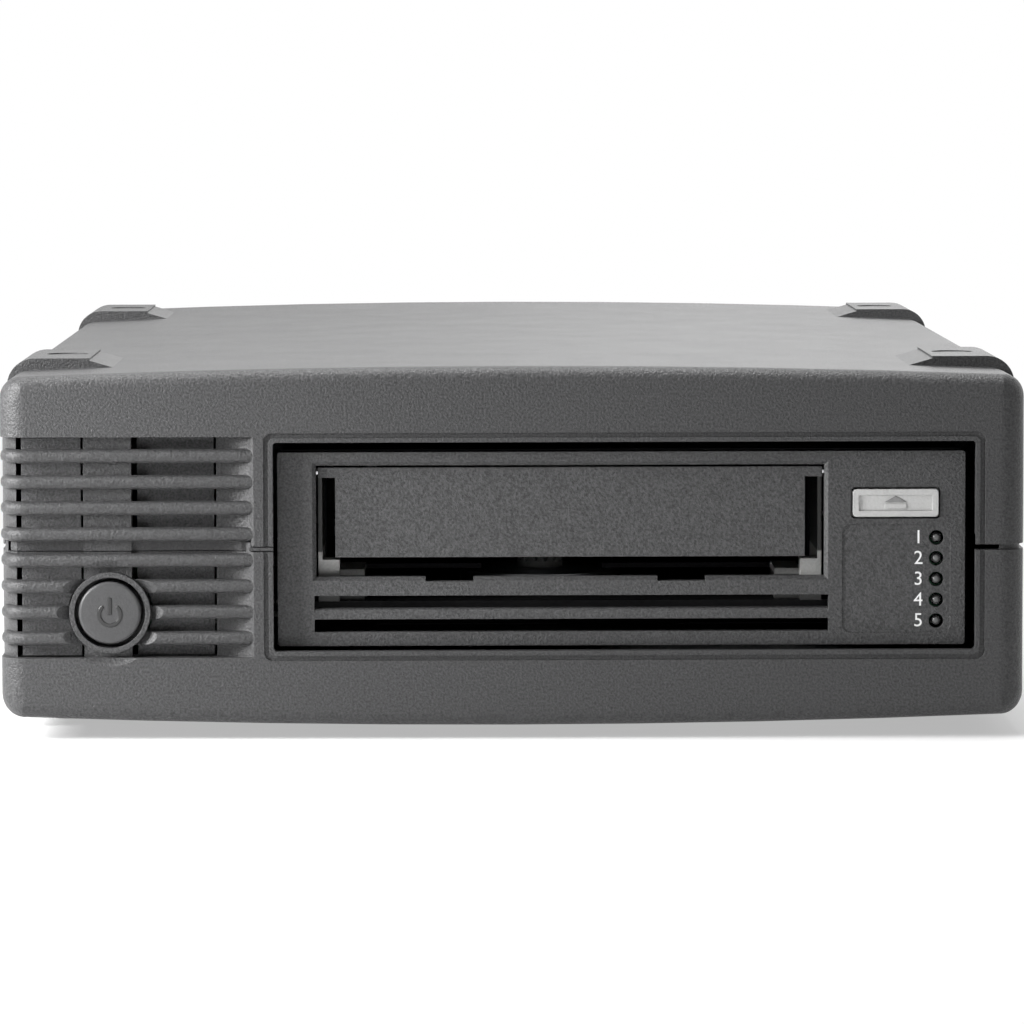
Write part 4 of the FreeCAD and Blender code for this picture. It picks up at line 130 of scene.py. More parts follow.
class Nodes(NodeTree):
    """A material's node tree around a principled shader."""

    def __init__(self, name: str) -> None:
        """Start a material.

        Args:
            name: The material's name.
        """
        self.material = bpy.data.materials.new(name)
        self.material.use_nodes = True
        super().__init__(self.material.node_tree)
        self.shader = self.tree.nodes["Principled BSDF"]
        self.spots = self.add("ShaderNodeTexCoord").outputs["Object"]

    def place(self, stretch: Spot = (1.0, 1.0, 1.0)) -> Socket:
        """Object coordinates, stretched along the axes."""
        return self.add("ShaderNodeMapping", Vector=self.spots, Scale=stretch).outputs["Vector"]

    def noise(
        self, scale: float, detail: float = 2.0, rough: float = 0.5, stretch: Spot = (1.0, 1.0, 1.0)
    ) -> Socket:
        """A noise pattern over the piece.

        Args:
            scale: The pattern's scale per metre.
            detail: The number of finer layers.
            rough: How strong the finer layers are.
            stretch: The factor along each axis.

        Returns:
            The pattern's value socket.
        """
        spots = self.place(stretch)
        node = self.add("ShaderNodeTexNoise", Scale=scale, Detail=detail, Roughness=rough, Vector=spots)
        return node.outputs["Fac"]

    def shades(
        self, value: Socket, colour: Colour, dark: float, light: float, ends: Point = PATTERN
    ) -> Socket:
        """Let the base colour swing between a darker and a lighter shade.

        Args:
            value: The pattern's socket.
            colour: The colour.
            dark: The darker shade's factor.
            light: The lighter shade's factor.
            ends: The pattern's values at the two shades.

        Returns:
            The shaded colour's socket.
        """
        node = self.add("ShaderNodeValToRGB", Fac=value)
        for point, position, factor in zip(node.color_ramp.elements, ends, (dark, light)):
            point.position = position
            point.color = (*tone(colour, factor), 1.0)
        self.put("Base Color", node.outputs["Color"])
        return node.outputs["Color"]

    def rough(self, value: Socket, low: float, high: float) -> None:
        """Let the roughness swing with a pattern.

        Args:
            value: The pattern's socket.
            low: The lowest roughness.
            high: The highest roughness.
        """
        start, end = PATTERN
        node = self.add(
            "ShaderNodeMapRange", Value=value, From_Min=start, From_Max=end, To_Min=low, To_Max=high)
        self.put("Roughness", node.outputs["Result"])

    def bump(self, height: Socket, strength: float, depth: float, under: Socket | None = None) -> None:
        """Raise a bump on the surface.

        Args:
            height: The height's socket.
            strength: The bump's strength.
            depth: How deep it is, in metres.
            under: The normal that it adds to.
        """
        node = self.add("ShaderNodeBump", Strength=strength, Distance=depth, Height=height)
        if under is not None:
            self.join(under, node.inputs["Normal"])
        self.put("Normal", node.outputs["Normal"])

    def put(self, name: str, value: float | Colour | Socket) -> None:
        """Set or link one of the shader's inputs."""
        self.join((*value, 1.0) if isinstance(value, tuple) else value, self.shader.inputs[name])


def tone(colour: Colour, factor: float) -> Colour:
    """A colour made lighter or darker by a factor."""
    return tuple(min(1.0, part * factor) for part in colour)


@dataclass(frozen=True)
class Finish:
    """What a piece wears."""

    name: str
    colour: Colour

    def build(self) -> bpy.types.Material:
        """Make the finish.

        Returns:
            Its material.
        """
        nodes = Nodes(self.name)
        self.paint(nodes)
        return nodes.material

    def paint(self, nodes: Nodes) -> None:
        """Fill in the material's nodes."""
        raise NotImplementedError


@dataclass(frozen=True)
class MouldedPlastic(Finish):
    """Plastic with a spark-eroded grain of fine pits over a slight mottle, and slightly rounded edges."""

    grain: float = 2000.0
    depth: float = 0.3 * MM
    strength: float = 0.8
    roughness: float = 0.37
    contrast: float = 0.5
    gloss: float = 0.28
    edge: float = 0.25 * MM
    mottle: float = 0.015
    # An optional lit band, with painted shade above and below it: the band, the shade's soft edge, its share
    # and its colour.
    pale_band: Point | None = None
    band_edge: float = 0.3 * MM
    smoke: float = 0.9
    soot: Colour = (0.01, 0.01, 0.01)

    def paint(self, nodes: Nodes) -> None:
        """Grain, mottle and rounded edges.

        Args:
            nodes: The material's nodes.
        """
        mottle = nodes.noise(60.0, 3.0)
        fine = nodes.noise(self.grain, 3.0, 0.6)
        colour = nodes.shades(fine, self.colour, 1.0 - self.contrast, 1.0 + self.contrast)
        # Where a lit band is given, shade is painted on the colour above and below it.
        if self.pale_band is not None:
            nodes.put("Base Color", self.smoked(nodes, colour))
        nodes.rough(mottle, self.roughness - self.mottle, self.roughness + self.mottle)
        nodes.put("Specular IOR Level", self.gloss)
        rounded = nodes.add("ShaderNodeBevel", {"samples": 4}, Radius=self.edge)
        nodes.bump(fine, self.strength, self.depth, rounded.outputs["Normal"])

    def smoked(self, nodes: Nodes, colour: Socket) -> Socket:
        """Paint shade: darken the colour above and below the lit band, where the guides stand in shade.

        Args:
            nodes: The material's nodes.
            colour: The colour's socket.

        Returns:
            The darkened colour's socket.
        """
        low, high = self.pale_band
        half = (high - low) / 2
        level = nodes.add("ShaderNodeSeparateXYZ", Vector=nodes.spots).outputs["Z"]
        distance = nodes.calc(nodes.calc(level, (low + high) / 2, "SUBTRACT"), kind="ABSOLUTE")
        share = nodes.add(
            "ShaderNodeMapRange", Value=distance, From_Min=half, From_Max=half + self.band_edge,
            To_Max=self.smoke)
        mix = nodes.add(
            "ShaderNodeMix", {"data_type": "RGBA"}, Factor=share.outputs["Result"], A=colour,
            B=(*self.soot, 1.0))
        return mix.outputs["Result"]


@dataclass(frozen=True)
class SmoothPlastic(MouldedPlastic):
    """Plastic with a finer, weaker grain."""

    grain: float = 1800.0
    strength: float = 0.2
    roughness: float = 0.4
    contrast: float = 0.1


@dataclass(frozen=True)
class SheetMetal(Finish):
    """Plated sheet with a faint rolled streak and spangle."""

    roughness: float = 0.38
    streak: Spot = (1.0, 30.0, 30.0)

    def paint(self, nodes: Nodes) -> None:
        """Streak and spangle.

        Args:
            nodes: The material's nodes.
        """
        streak = nodes.noise(60.0, 4.0, 0.6, self.streak)
        spangle = nodes.noise(300.0, 2.0)
        nodes.shades(spangle, self.colour, 0.95, 1.04, (0.35, 0.65))
        nodes.put("Metallic", 1.0)
        nodes.rough(streak, self.roughness - 0.04, self.roughness + 0.05)
        nodes.bump(streak, 0.12, 0.00005)


@dataclass(frozen=True)
class CastMetal(Finish):
    """Cast or sintered metal with a grainy skin."""

    roughness: float = 0.55

    def paint(self, nodes: Nodes) -> None:
        """Grain and cloud.

        Args:
            nodes: The material's nodes.
        """
        grain = nodes.noise(900.0, 3.0)
        cloud = nodes.noise(45.0, 3.0)
        nodes.shades(cloud, self.colour, 0.85, 1.1)
        nodes.put("Metallic", 0.85)
        nodes.rough(grain, self.roughness - 0.08, self.roughness + 0.08)
        nodes.bump(grain, 0.35, 0.0001)


@dataclass(frozen=True)
class TurnedMetal(Finish):
    """Ground or turned metal, nearly a mirror."""

    roughness: float = 0.18

    def paint(self, nodes: Nodes) -> None:
        """Faint rings.

        Args:
            nodes: The material's nodes.
        """
        rings = nodes.noise(300.0, 3.0, 0.6, (1.0, 1.0, 14.0))
        nodes.shades(rings, self.colour, 0.92, 1.05)
        nodes.put("Metallic", 1.0)
        nodes.rough(rings, self.roughness - 0.05, self.roughness + 0.08)


@dataclass(frozen=True)
class CircuitBoard(Finish):
    """Solder mask over copper tracks."""

    colour: Colour = (0.012, 0.06, 0.028)

    def paint(self, nodes: Nodes) -> None:
        """Tracks under a clear coat.

        Args:
            nodes: The material's nodes.
        """
        even, lighter, track = ((*tone(self.colour, factor), 1.0) for factor in (1.0, 1.25, 2.2))
        cells = nodes.add(
            "ShaderNodeTexBrick", Vector=nodes.place(), Scale=140.0, Mortar_Size=0.05, Color1=even,
            Color2=lighter, Mortar=track)
        nodes.put("Base Color", cells.outputs["Color"])
        nodes.rough(nodes.noise(200.0), 0.28, 0.4)
        nodes.put("Coat Weight", 0.3)
        nodes.bump(cells.outputs["Fac"], 0.2, 0.00003)


@dataclass(frozen=True)
class Winding(Finish):
    """Varnished wire, wound in close turns."""

    colour: Colour = (0.32, 0.13, 0.04)
    turns: float = 900.0

    def paint(self, nodes: Nodes) -> None:
        """Close turns.

        Args:
            nodes: The material's nodes.
        """
        wave = nodes.add("ShaderNodeTexWave", Vector=nodes.place(), Scale=self.turns / 4, Distortion=0.6)
        nodes.shades(wave.outputs["Fac"], self.colour, 0.45, 1.0, (0.1, 0.8))
        nodes.put("Metallic", 0.5)
        nodes.rough(nodes.noise(150.0), 0.3, 0.42)
        nodes.bump(wave.outputs["Fac"], 0.6, 0.0002)


@dataclass(frozen=True)
class Ink(Finish):
    """Printed or painted marking."""

    roughness: float = 0.45

    def paint(self, nodes: Nodes) -> None:
        """Slightly uneven cover.

        Args:
            nodes: The material's nodes.
        """
        cover = nodes.noise(2200.0, 2.0)
        nodes.shades(cover, self.colour, 0.9, 1.0, (0.25, 0.6))
        nodes.rough(cover, self.roughness - 0.05, self.roughness + 0.05)


@dataclass(frozen=True)
class Glossy(Finish):
    """Smooth, polished plastic, such as a lens or a sleeve."""

    roughness: float = 0.12

    def paint(self, nodes: Nodes) -> None:
        """A faint haze under a clear coat.

        Args:
            nodes: The material's nodes.
        """
        haze = nodes.noise(400.0, 2.0)
        nodes.shades(haze, self.colour, 0.85, 1.15)
        nodes.rough(haze, self.roughness, self.roughness + 0.06)
        nodes.put("Coat Weight", 0.5)
        nodes.put("Coat Roughness", 0.05)


@dataclass
class Wardrobe:
    """All the finishes of the drive, and which node wears which."""

    made: dict[str, bpy.types.Material] = field(default_factory=dict)

    def finishes(self) -> dict[Finish, tuple[str, ...]]:
        """Which nodes wear which finish.

        Returns:
            Each finish with its nodes.
        """
        return {
            MouldedPlastic("case_plastic", CASE): ("top_shell", "bottom_shell"),
            # The case plastic made 1.7 times lighter as painted light on the recessed vent panels.
            MouldedPlastic("baffle_plastic", tone(CASE, 1.7), gloss=0.2): ("vent_baffle",),
            MouldedPlastic("cap_plastic", tone(CASE, 1.15), strength=0.2, contrast=0.12): (),
            # The case plastic darkened to a fifth as painted shade on the raised power symbol.
            MouldedPlastic(
                "symbol_shaded_plastic", tone(CASE, 0.2), strength=0.1, contrast=0.1, roughness=0.3, gloss=0.7): (),
            MouldedPlastic("fan_plastic", (0.03, 0.03, 0.031), 1400.0, strength=0.3): (
                "fan_frame", "fan_rotor"),
            MouldedPlastic("inlet_plastic", (0.02, 0.02, 0.02), 1600.0, strength=0.3): ("mains_inlet",),
            MouldedPlastic("drive_plastic", DRIVE, 1900.0): ("drive_bezel",),
            MouldedPlastic("door_plastic", DRIVE, 1900.0): ("drive_door",),
            SmoothPlastic("button_plastic", (0.46, 0.46, 0.455), contrast=0.06, roughness=0.42): (
                "eject_button",),
            SmoothPlastic("symbol_grey", (0.22, 0.22, 0.22), roughness=0.37): (),
            # The guides keep their pale colour only in a band and are darkened above and below it as painted
            # shade.
            SmoothPlastic("guide_plastic", (0.45, 0.45, 0.44), pale_band=(34.5 * MM, 39.6 * MM)): (
                "carriage_guides",),
            SmoothPlastic("reel_plastic", (0.12, 0.12, 0.125)): (
                "takeup_reel", "loader_gear", "threader_arm"),
            SmoothPlastic("clutch_plastic", (0.55, 0.55, 0.54), contrast=0.08): ("reel_clutch",),
            SmoothPlastic("connector_plastic", (0.35, 0.33, 0.28)): (
                "supply_terminals", "drive_connectors", "lamps_and_switch"),
            MouldedPlastic("chip_plastic", (0.015, 0.015, 0.016), 2400.0, strength=0.2, roughness=0.45): (
                "interface_chips", "board_chips"),
            MouldedPlastic("foot_rubber", (0.018, 0.018, 0.018), 1000.0, strength=0.6, roughness=0.75): (
                "rubber_feet",),
            MouldedPlastic("lead_sleeve", (0.022, 0.022, 0.024), 1200.0, strength=0.2, roughness=0.45): (
                "supply_leads", "power_leads", "data_lead"),
            SheetMetal("panel_steel", (0.52, 0.52, 0.53)): (
                "rear_panel", "supply_bracket", "drive_rails", "loader_bracket", "threader_bridge",
                "roller_plate", "data_receptacles"),
            # Near-black as painted shade: the carriage and the drive's covers sit in shade behind the slot
            # and vents.
            SheetMetal("shade_black_steel", (0.014, 0.014, 0.015), 0.55): (
                "cartridge_carriage", "drive_cover", "drive_base_cover"),
            SheetMetal("motor_steel", (0.42, 0.42, 0.43), 0.35): (
                "clutch_motor", "takeup_motor", "loader_motor"),
            CastMetal("cast_aluminium", (0.5, 0.5, 0.51)): ("supply_heat_sinks", "head_base"),
            # The chassis near-black as painted shade inside the drive, behind the vents.
            CastMetal("shade_black_casting", (0.016, 0.016, 0.017), 0.6): ("drive_chassis",),
            TurnedMetal("roller_steel", (0.62, 0.62, 0.63)): (
                *(f"tape_roller_{count}" for count in range(1, 5)), "tape_head", "door_pins"),
            TurnedMetal("screw_steel", (0.5, 0.5, 0.51), 0.28): SCREWS,
            TurnedMetal("contact_brass", (0.7, 0.55, 0.3), 0.25): ("inlet_blades",),
            TurnedMetal("contact_tin", (0.66, 0.66, 0.64), 0.3): (),
            Ink("white_ink", (0.82, 0.82, 0.82)): (),
            CircuitBoard("circuit_board"): (
                "interface_board", "supply_board", "drive_board", "front_board", "power_switch_board"),
            Winding("winding"): ("supply_magnetics",),
            Glossy("capacitor_sleeve", (0.012, 0.016, 0.05), 0.2): ("supply_capacitors",),
            Glossy("lamp_lens", (0.08, 0.08, 0.08), 0.2): ("indicator_lenses",),
        }

    def dress(self) -> None:
        """Give every carried-over node its finish."""
        for finish, nodes in self.finishes().items():
            material = finish.build()
            self.made[finish.name] = material
            for name in nodes:
                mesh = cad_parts[name].data
                mesh.materials.clear()
                mesh.materials.append(material)
            log.info("%s on %s", finish.name, ", ".join(nodes))


def placed(name: str, data: bpy.types.ID) -> bpy.types.Object:
    """Make an object in the scene.

    Args:
        name: Its name.
        data: Its mesh, lamp, camera or text.

    Returns:
        The object.
    """
    thing = bpy.data.objects.new(name, data)
    bpy.context.scene.collection.objects.link(thing)
    return thing


def new_piece(
    name: str, mesh: bpy.types.Mesh, body: str, material: bpy.types.Material
) -> bpy.types.Object:
    """Make a piece from a finished mesh and let it ride on a body.

    Args:
        name: The piece's name.
        mesh: Its mesh, in place.
        body: The body that it rides on.
        material: What it wears.

    Returns:
        The piece.
    """
    mesh.materials.clear()
    mesh.materials.append(material)
    piece = placed(name, mesh)
    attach(piece, body)
    log.info("%s rides on %s, %d faces", name, body, len(mesh.polygons))
    return piece


def facing(axis: Axis, spot: Spot) -> Matrix:
    """The transform that stands a flat drawing up and puts it in place.

    Args:
        axis: Which way the drawing faces.
        spot: Where its origin goes.

    Returns:
        The transform.
    """
    turns = {
        Axis.FRONT: Matrix.Rotation(math.radians(90), 4, "X"),
        Axis.UP: Matrix.Identity(4),
    }
    return Matrix.Translation(spot) @ turns[axis]


def flat_mesh(name: str, outlines: list[list[Point]], thickness: float, place: Matrix) -> bpy.types.Mesh:
    """A thin plate for each closed outline.

    Args:
        name: The mesh's name.
        outlines: Each outline's corners, anticlockwise.
        thickness: The plates' thickness.
        place: Where the drawing goes.

    Returns:
        The mesh.
    """
    shape = bmesh.new()
    for outline in outlines:
        lower = [shape.verts.new((x, y, 0.0)) for x, y in outline]
        upper = [shape.verts.new((x, y, thickness)) for x, y in outline]
        shape.faces.new(list(reversed(lower)))
        shape.faces.new(upper)
        for index in range(len(outline)):
            after = (index + 1) % len(outline)
            shape.faces.new((lower[index], lower[after], upper[after], upper[index]))
    mesh = bpy.data.meshes.new(name)
    shape.transform(place)
    bmesh.ops.recalc_face_normals(shape, faces=shape.faces)
    shape.to_mesh(mesh)
    shape.free()
    return mesh


def arc_band(
    centre: Point, radius: float, width: float, start: float, end: float, steps: int = 40
) -> list[Point]:
    """The outline of a band along an arc.

    Args:
        centre: The arc's centre.
        radius: The band's middle radius.
        width: The band's width.
        start: Where the band starts, in degrees.
        end: Where it ends.
        steps: The number of straight runs along it.

    Returns:
        The outline's corners.
    """
    angles = [math.radians(start + (end - start) * step / steps) for step in range(steps + 1)]
    x, y = centre
    rims = []
    for reach in (radius + width / 2, radius - width / 2):
        rims.append([(x + reach * math.cos(angle), y + reach * math.sin(angle)) for angle in angles])
    return rims[0] + rims[1][::-1]


def rectangle(left: float, right: float, low: float, high: float) -> list[Point]:
    """A rectangle's corners."""
    return [(left, low), (right, low), (right, high), (left, high)]


def limits(corners: list[Vector]) -> tuple[Vector, Vector]:
    """The lowest and highest corner of a solid's box.

    Args:
        corners: The solid's corners.

    Returns:
        The two corners.
    """
    low = Vector([min(corner[axis] for corner in corners) for axis in range(3)])
    high = Vector([max(corner[axis] for corner in corners) for axis in range(3)])
    return low, high


def bevelled(mesh: bpy.types.Mesh, width: float, steps: int = 2, steepest: float = 50.0) -> bpy.types.Mesh:
    """Round a mesh's sharp edges.

    Args:
        mesh: The mesh.
        width: How wide the rounding is.
        steps: How many faces it has.
        steepest: The angle, in degrees, above which an edge is sharp.

    Returns:
        The same mesh, rounded.
    """
    shape = bmesh.new()
    shape.from_mesh(mesh)
    shared = [edge for edge in shape.edges if len(edge.link_faces) == 2]
    sharp = [edge for edge in shared if edge.calc_face_angle() > math.radians(steepest)]
    bmesh.ops.bevel(shape, geom=sharp, offset=width, segments=steps, profile=0.5, affect="EDGES")
    shape.to_mesh(mesh)
    shape.free()
    return mesh


class ShapeTree(NodeTree):
    """A Geometry Nodes tree that sets a small shape out on marked points."""

    def __init__(self, name: str, **sizes: float) -> None:
        """Start a tree with a geometry, a material and its sizes as inputs.

        Args:
            name: The tree's name.
            sizes: The sizes, each a named input, with underscores for spaces.
        """
        super().__init__(bpy.data.node_groups.new(name, "GeometryNodeTree"))
        face = self.tree.interface
        face.new_socket("Geometry", in_out="INPUT", socket_type="NodeSocketGeometry")
        finish = face.new_socket("Finish", in_out="INPUT", socket_type="NodeSocketMaterial")
        self.finish_input = finish.identifier
        self.sizes = {}
        for label, size in sizes.items():
            socket = face.new_socket(label.replace("_", " "), in_out="INPUT", socket_type="NodeSocketFloat")
            self.sizes[socket.identifier] = size
        face.new_socket("Geometry", in_out="OUTPUT", socket_type="NodeSocketGeometry")
        self.start = self.tree.nodes.new("NodeGroupInput")
        self.end = self.tree.nodes.new("NodeGroupOutput")

    def cut(self, name: str) -> Socket:
        """The socket of a named size."""
        return self.start.outputs[name]

    def spot(self, x: Number = 0.0, y: Number = 0.0, z: Number = 0.0) -> Socket:
        """A vector from three numbers or sockets."""
        return self.add("ShaderNodeCombineXYZ", X=x, Y=y, Z=z).outputs[0]

    def moved(self, shape: Socket, x: Number = 0.0, y: Number = 0.0, z: Number = 0.0) -> Socket:
        """Move a shape along the axes."""
        return self.add("GeometryNodeTransform", Geometry=shape, Translation=self.spot(x, y, z)).outputs[0]

    def bar(self, x: Number, y: Number, z: Number) -> Socket:
        """A rectangular bar of three sizes, about its middle."""
        return self.add("GeometryNodeMeshCube", Size=self.spot(x, y, z)).outputs[0]

    def drum(self, radius: Number, length: Number, sides: int = 24, rings: int = 1) -> Socket:
        """A round drum that stands on the origin.

        Args:
            radius: Its radius.
            length: Its length along Z.
            sides: Its number of sides.
            rings: Its number of rows of faces.

        Returns:
            The shape's socket.
        """
        node = self.add(
            "GeometryNodeMeshCone", Vertices=sides, Side_Segments=rings, Radius_Top=radius,
            Radius_Bottom=radius, Depth=length)
        return node.outputs[0]

    def together(self, *shapes: Socket) -> Socket:
        """Join several shapes.

        Args:
            shapes: The shapes' sockets.

        Returns:
            The joined shapes' socket.
        """
        node = self.add("GeometryNodeJoinGeometry")
        for shape in shapes:
            self.tree.links.new(shape, node.inputs[0])
        return node.outputs[0]

    def without(self, shape: Socket, *tools: Socket) -> Socket:
        """Cut shapes out of another.

        Args:
            shape: What is cut.
            tools: What is taken away.

        Returns:
            The cut shape's socket.
        """
        node = self.add("GeometryNodeMeshBoolean", {"operation": "DIFFERENCE", "solver": "EXACT"})
        self.tree.links.new(shape, node.inputs["Mesh 1"])
        for tool in tools:
            self.tree.links.new(tool, node.inputs["Mesh 2"])
        return node.outputs["Mesh"]

    def domed(self, shape: Socket, height: Number, draw: float, power: float) -> Socket:
        """Draw a drum in towards its top.

        Args:
            shape: The drum's socket.
            height: The drum's height.
            draw: How far the top is drawn in, as a share of the radius.
            power: How late the drawing in starts.

        Returns:
            The domed shape's socket.
        """
        position = self.add("GeometryNodeInputPosition").outputs[0]
        x, y, z = self.add("ShaderNodeSeparateXYZ", Vector=position).outputs
        late = self.calc(self.calc(z, height, "DIVIDE"), power, "POWER")
        factor = self.calc(1.0, self.calc(late, draw), "SUBTRACT")
        drawn = self.spot(self.calc(x, factor), self.calc(y, factor), z)
        return self.add("GeometryNodeSetPosition", Geometry=shape, Position=drawn).outputs[0]

    def set_out(self, shape: Socket) -> None:
        """Set the shape out on the marked points, with its Z axis along each point's heading.

        Args:
            shape: The shape's socket.
        """
        heading = self.add("GeometryNodeInputNamedAttribute", {"data_type": "FLOAT_VECTOR"}, Name="heading")
        turn = self.add("FunctionNodeAlignRotationToVector", {"axis": "Z"}, Vector=heading.outputs[0])
        copies = self.add(
            "GeometryNodeInstanceOnPoints", Points=self.start.outputs["Geometry"], Instance=shape,
            Rotation=turn.outputs[0])
        real = self.add("GeometryNodeRealizeInstances", Geometry=copies.outputs[0])
        finish = self.start.outputs["Finish"]
        dressed = self.add("GeometryNodeSetMaterial", Geometry=real.outputs[0], Material=finish)
        self.tree.links.new(dressed.outputs[0], self.end.inputs["Geometry"])

    def grow(self, name: str, marks: list[Mark], finish: bpy.types.Material) -> bpy.types.Mesh:
        """Run the tree on marked points and keep the plain mesh.

        Args:
            name: The mesh's name.
            marks: Each point's place and heading.
            finish: The material.

        Returns:
            The mesh.
        """
        seed = bpy.data.meshes.new(name + "_marks")
        seed.from_pydata([tuple(spot) for spot, _ in marks], [], [])
        headings = seed.attributes.new("heading", "FLOAT_VECTOR", "POINT")
        for index, (_, heading) in enumerate(marks):
            headings.data[index].vector = heading
        holder = placed(name + "_marks", seed)
        modifier = holder.modifiers.new(self.tree.name, "NODES")
        modifier.node_group = self.tree
        modifier[self.finish_input] = finish
        for identifier, size in self.sizes.items():
            modifier[identifier] = size
        result = holder.evaluated_get(bpy.context.evaluated_depsgraph_get())
        mesh = bpy.data.meshes.new_from_object(result)
        mesh.name = name
        bpy.data.objects.remove(holder)
        return mesh


def islands(node: str) -> list[list[Vector]]:
    """The corners of each separate solid of a carried-over node.

    Args:
        node: The node's name.

    Returns:
        For each solid, its corners.
    """
    shape = bmesh.new()
    shape.from_mesh(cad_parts[node].data)
    bmesh.ops.remove_doubles(shape, verts=shape.verts, dist=1e-6)
    seen: set[int] = set()
    found = []
    for first in shape.verts:
        if first.index in seen:
            continue
        seen.add(first.index)
        stack, corners = [first], []
        while stack:
            corner = stack.pop()
            corners.append(corner.co.copy())
            for edge in corner.link_edges:
                other = edge.other_vert(corner)
                if other.index not in seen:
                    seen.add(other.index)
                    stack.append(other)
        found.append(corners)
    shape.free()
    return found


@dataclass(frozen=True)
class ScrewGauge:
    """What is measured on one screw of the frame."""

    seat: Vector
    heading: Vector
    head_radius: float
    head_height: float
    shank_radius: float
    shank_length: float


def gauge(corners: list[Vector]) -> ScrewGauge:
    """Measure a headed screw from its corners.

    Args:
        corners: The corners of its solid.

    Returns:
        Its place and sizes.
    """
    low, high = limits(corners)
    size = high - low
    long = max(range(3), key=lambda axis: size[axis])
    across = [axis for axis in range(3) if axis != long]
    middle = (low + high) / 2
    radii = {}
    for corner in corners:
        level = round(corner[long], 6)
        reach = math.dist([corner[axis] for axis in across], [middle[axis] for axis in across])
        radii[level] = max(radii.get(level, 0.0), reach)
    levels = sorted(radii)
    turn = 1.0 if radii[levels[-1]] > radii[levels[0]] else -1.0
    top, tip = (levels[-1], levels[0]) if turn > 0 else (levels[0], levels[-1])
    head_radius, shank_radius = max(radii[top], radii[tip]), min(radii[top], radii[tip])
    seats = [level for level in levels if abs(radii[level] - head_radius) < CLOSE]
    seat_level = min(seats) if turn > 0 else max(seats)
    seat = middle.copy()
    seat[long] = seat_level
    heading = Vector((0.0, 0.0, 0.0))
    heading[long] = turn
    return ScrewGauge(seat, heading, head_radius, abs(top - seat_level), shank_radius, abs(seat_level - tip))


@dataclass
class Fasteners:
    """The screws, with domed heads, cross recesses and threads."""

    wardrobe: Wardrobe
    groups: tuple[str, ...] = SCREWS
    recess_share: float = 0.62
    recess_width: float = 0.17
    recess_depth: float = 0.62
    crown_draw: float = 0.4
    crown_power: float = 3.0
    head_sides: int = 28
    head_rings: int = 6
    shank_sides: int = 16
    thread_pitch: float = 0.8 * MM
    thread_depth: float = 0.2 * MM
    thread_sides: int = 14
    thread_share: float = 0.85
    thread_start: float = 0.95

    def build(self) -> None:
        """Make one piece for each group of screws."""
        finish = self.wardrobe.made["screw_steel"]
        for group in self.groups:
            screws = [gauge(corners) for corners in islands(group)]
            tree = self.screw_tree(group, screws[0])
            mesh = tree.grow(f"{group}_cut", [(screw.seat, screw.heading) for screw in screws], finish)
            piece = new_piece(f"{group}_cut", mesh, "case", finish)
            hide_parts(group)

    def screw_tree(self, group: str, screw: ScrewGauge) -> ShapeTree:
        """The tree of one screw, whose head stands on its seat.

        Args:
            group: The group's name.
            screw: The screw's sizes.

        Returns:
            The tree.
        """
        tree = ShapeTree(
            f"{group}_tree", Head_Radius=screw.head_radius, Head_Height=screw.head_height,
            Shank_Radius=screw.shank_radius, Shank_Length=screw.shank_length, Thread_Pitch=self.thread_pitch,
            Thread_Depth=self.thread_depth)
        radius, height = tree.cut("Head Radius"), tree.cut("Head Height")
        drum = tree.drum(radius, height, self.head_sides, self.head_rings)
        blank = tree.domed(drum, height, self.crown_draw, self.crown_power)
        long = tree.calc(radius, 2 * self.recess_share)
        wide = tree.calc(radius, 2 * self.recess_width)
        deep = tree.calc(height, 2 * self.recess_depth)
        arms = [tree.moved(tree.bar(*sizes), z=height) for sizes in ((long, wide, deep), (wide, long, deep))]
        head = tree.without(blank, *arms)
        root = tree.calc(tree.cut("Shank Radius"), tree.cut("Thread Depth"), "SUBTRACT")
        length = tree.cut("Shank Length")
        shank = tree.moved(tree.drum(root, length, self.shank_sides), z=tree.calc(length, -1.0))
        run = tree.calc(length, self.thread_share)
        turns = tree.calc(run, tree.cut("Thread Pitch"), "DIVIDE")
        spiral = tree.add(
            "GeometryNodeCurveSpiral", Resolution=self.thread_sides, Rotations=turns, Start_Radius=root,
            End_Radius=root, Height=run)
        ridge = tree.add("GeometryNodeCurvePrimitiveCircle", Resolution=4, Radius=tree.cut("Thread Depth"))
        thread = tree.add(
            "GeometryNodeCurveToMesh", Curve=spiral.outputs[0], Profile_Curve=ridge.outputs[0],
            Fill_Caps=True)
        start = tree.calc(tree.calc(length, self.thread_start), -1.0)
        wound = tree.moved(thread.outputs[0], z=start)
        tree.set_out(tree.together(head, shank, wound))
        return tree


@dataclass
class IndicatorLamps:
    """The five domed lamp lenses beside the numbers."""

    wardrobe: Wardrobe
    barrel_sides: int = 32
    barrel_rings: int = 24
    dome_draw: float = 1.0 - 1.0 / 3.0
    dome_power: float = 7.0

    def build(self) -> None:
        """Set one domed lens out for each lamp of the frame."""
        finish = self.wardrobe.made["lamp_lens"]
        boxes = [limits(corners) for corners in islands("indicator_lenses")]
        low, high = boxes[0]
        radius = (high.x - low.x) / 2
        tree = ShapeTree("lamp_lens_tree", Lens_Radius=radius, Lens_Length=high.y - low.y)
        length = tree.cut("Lens Length")
        barrel = tree.drum(tree.cut("Lens Radius"), length, self.barrel_sides, self.barrel_rings)
        tree.set_out(tree.domed(barrel, length, self.dome_draw, self.dome_power))
        forward = Vector((0.0, -1.0, 0.0))
        marks = [(Vector(((a.x + b.x) / 2, b.y, (a.z + b.z) / 2)), forward) for a, b in boxes]
        mesh = tree.grow("lamp_lenses", marks, finish)
        mesh.shade_smooth()
        piece = new_piece("lamp_lenses", mesh, "case", finish)
        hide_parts("indicator_lenses")


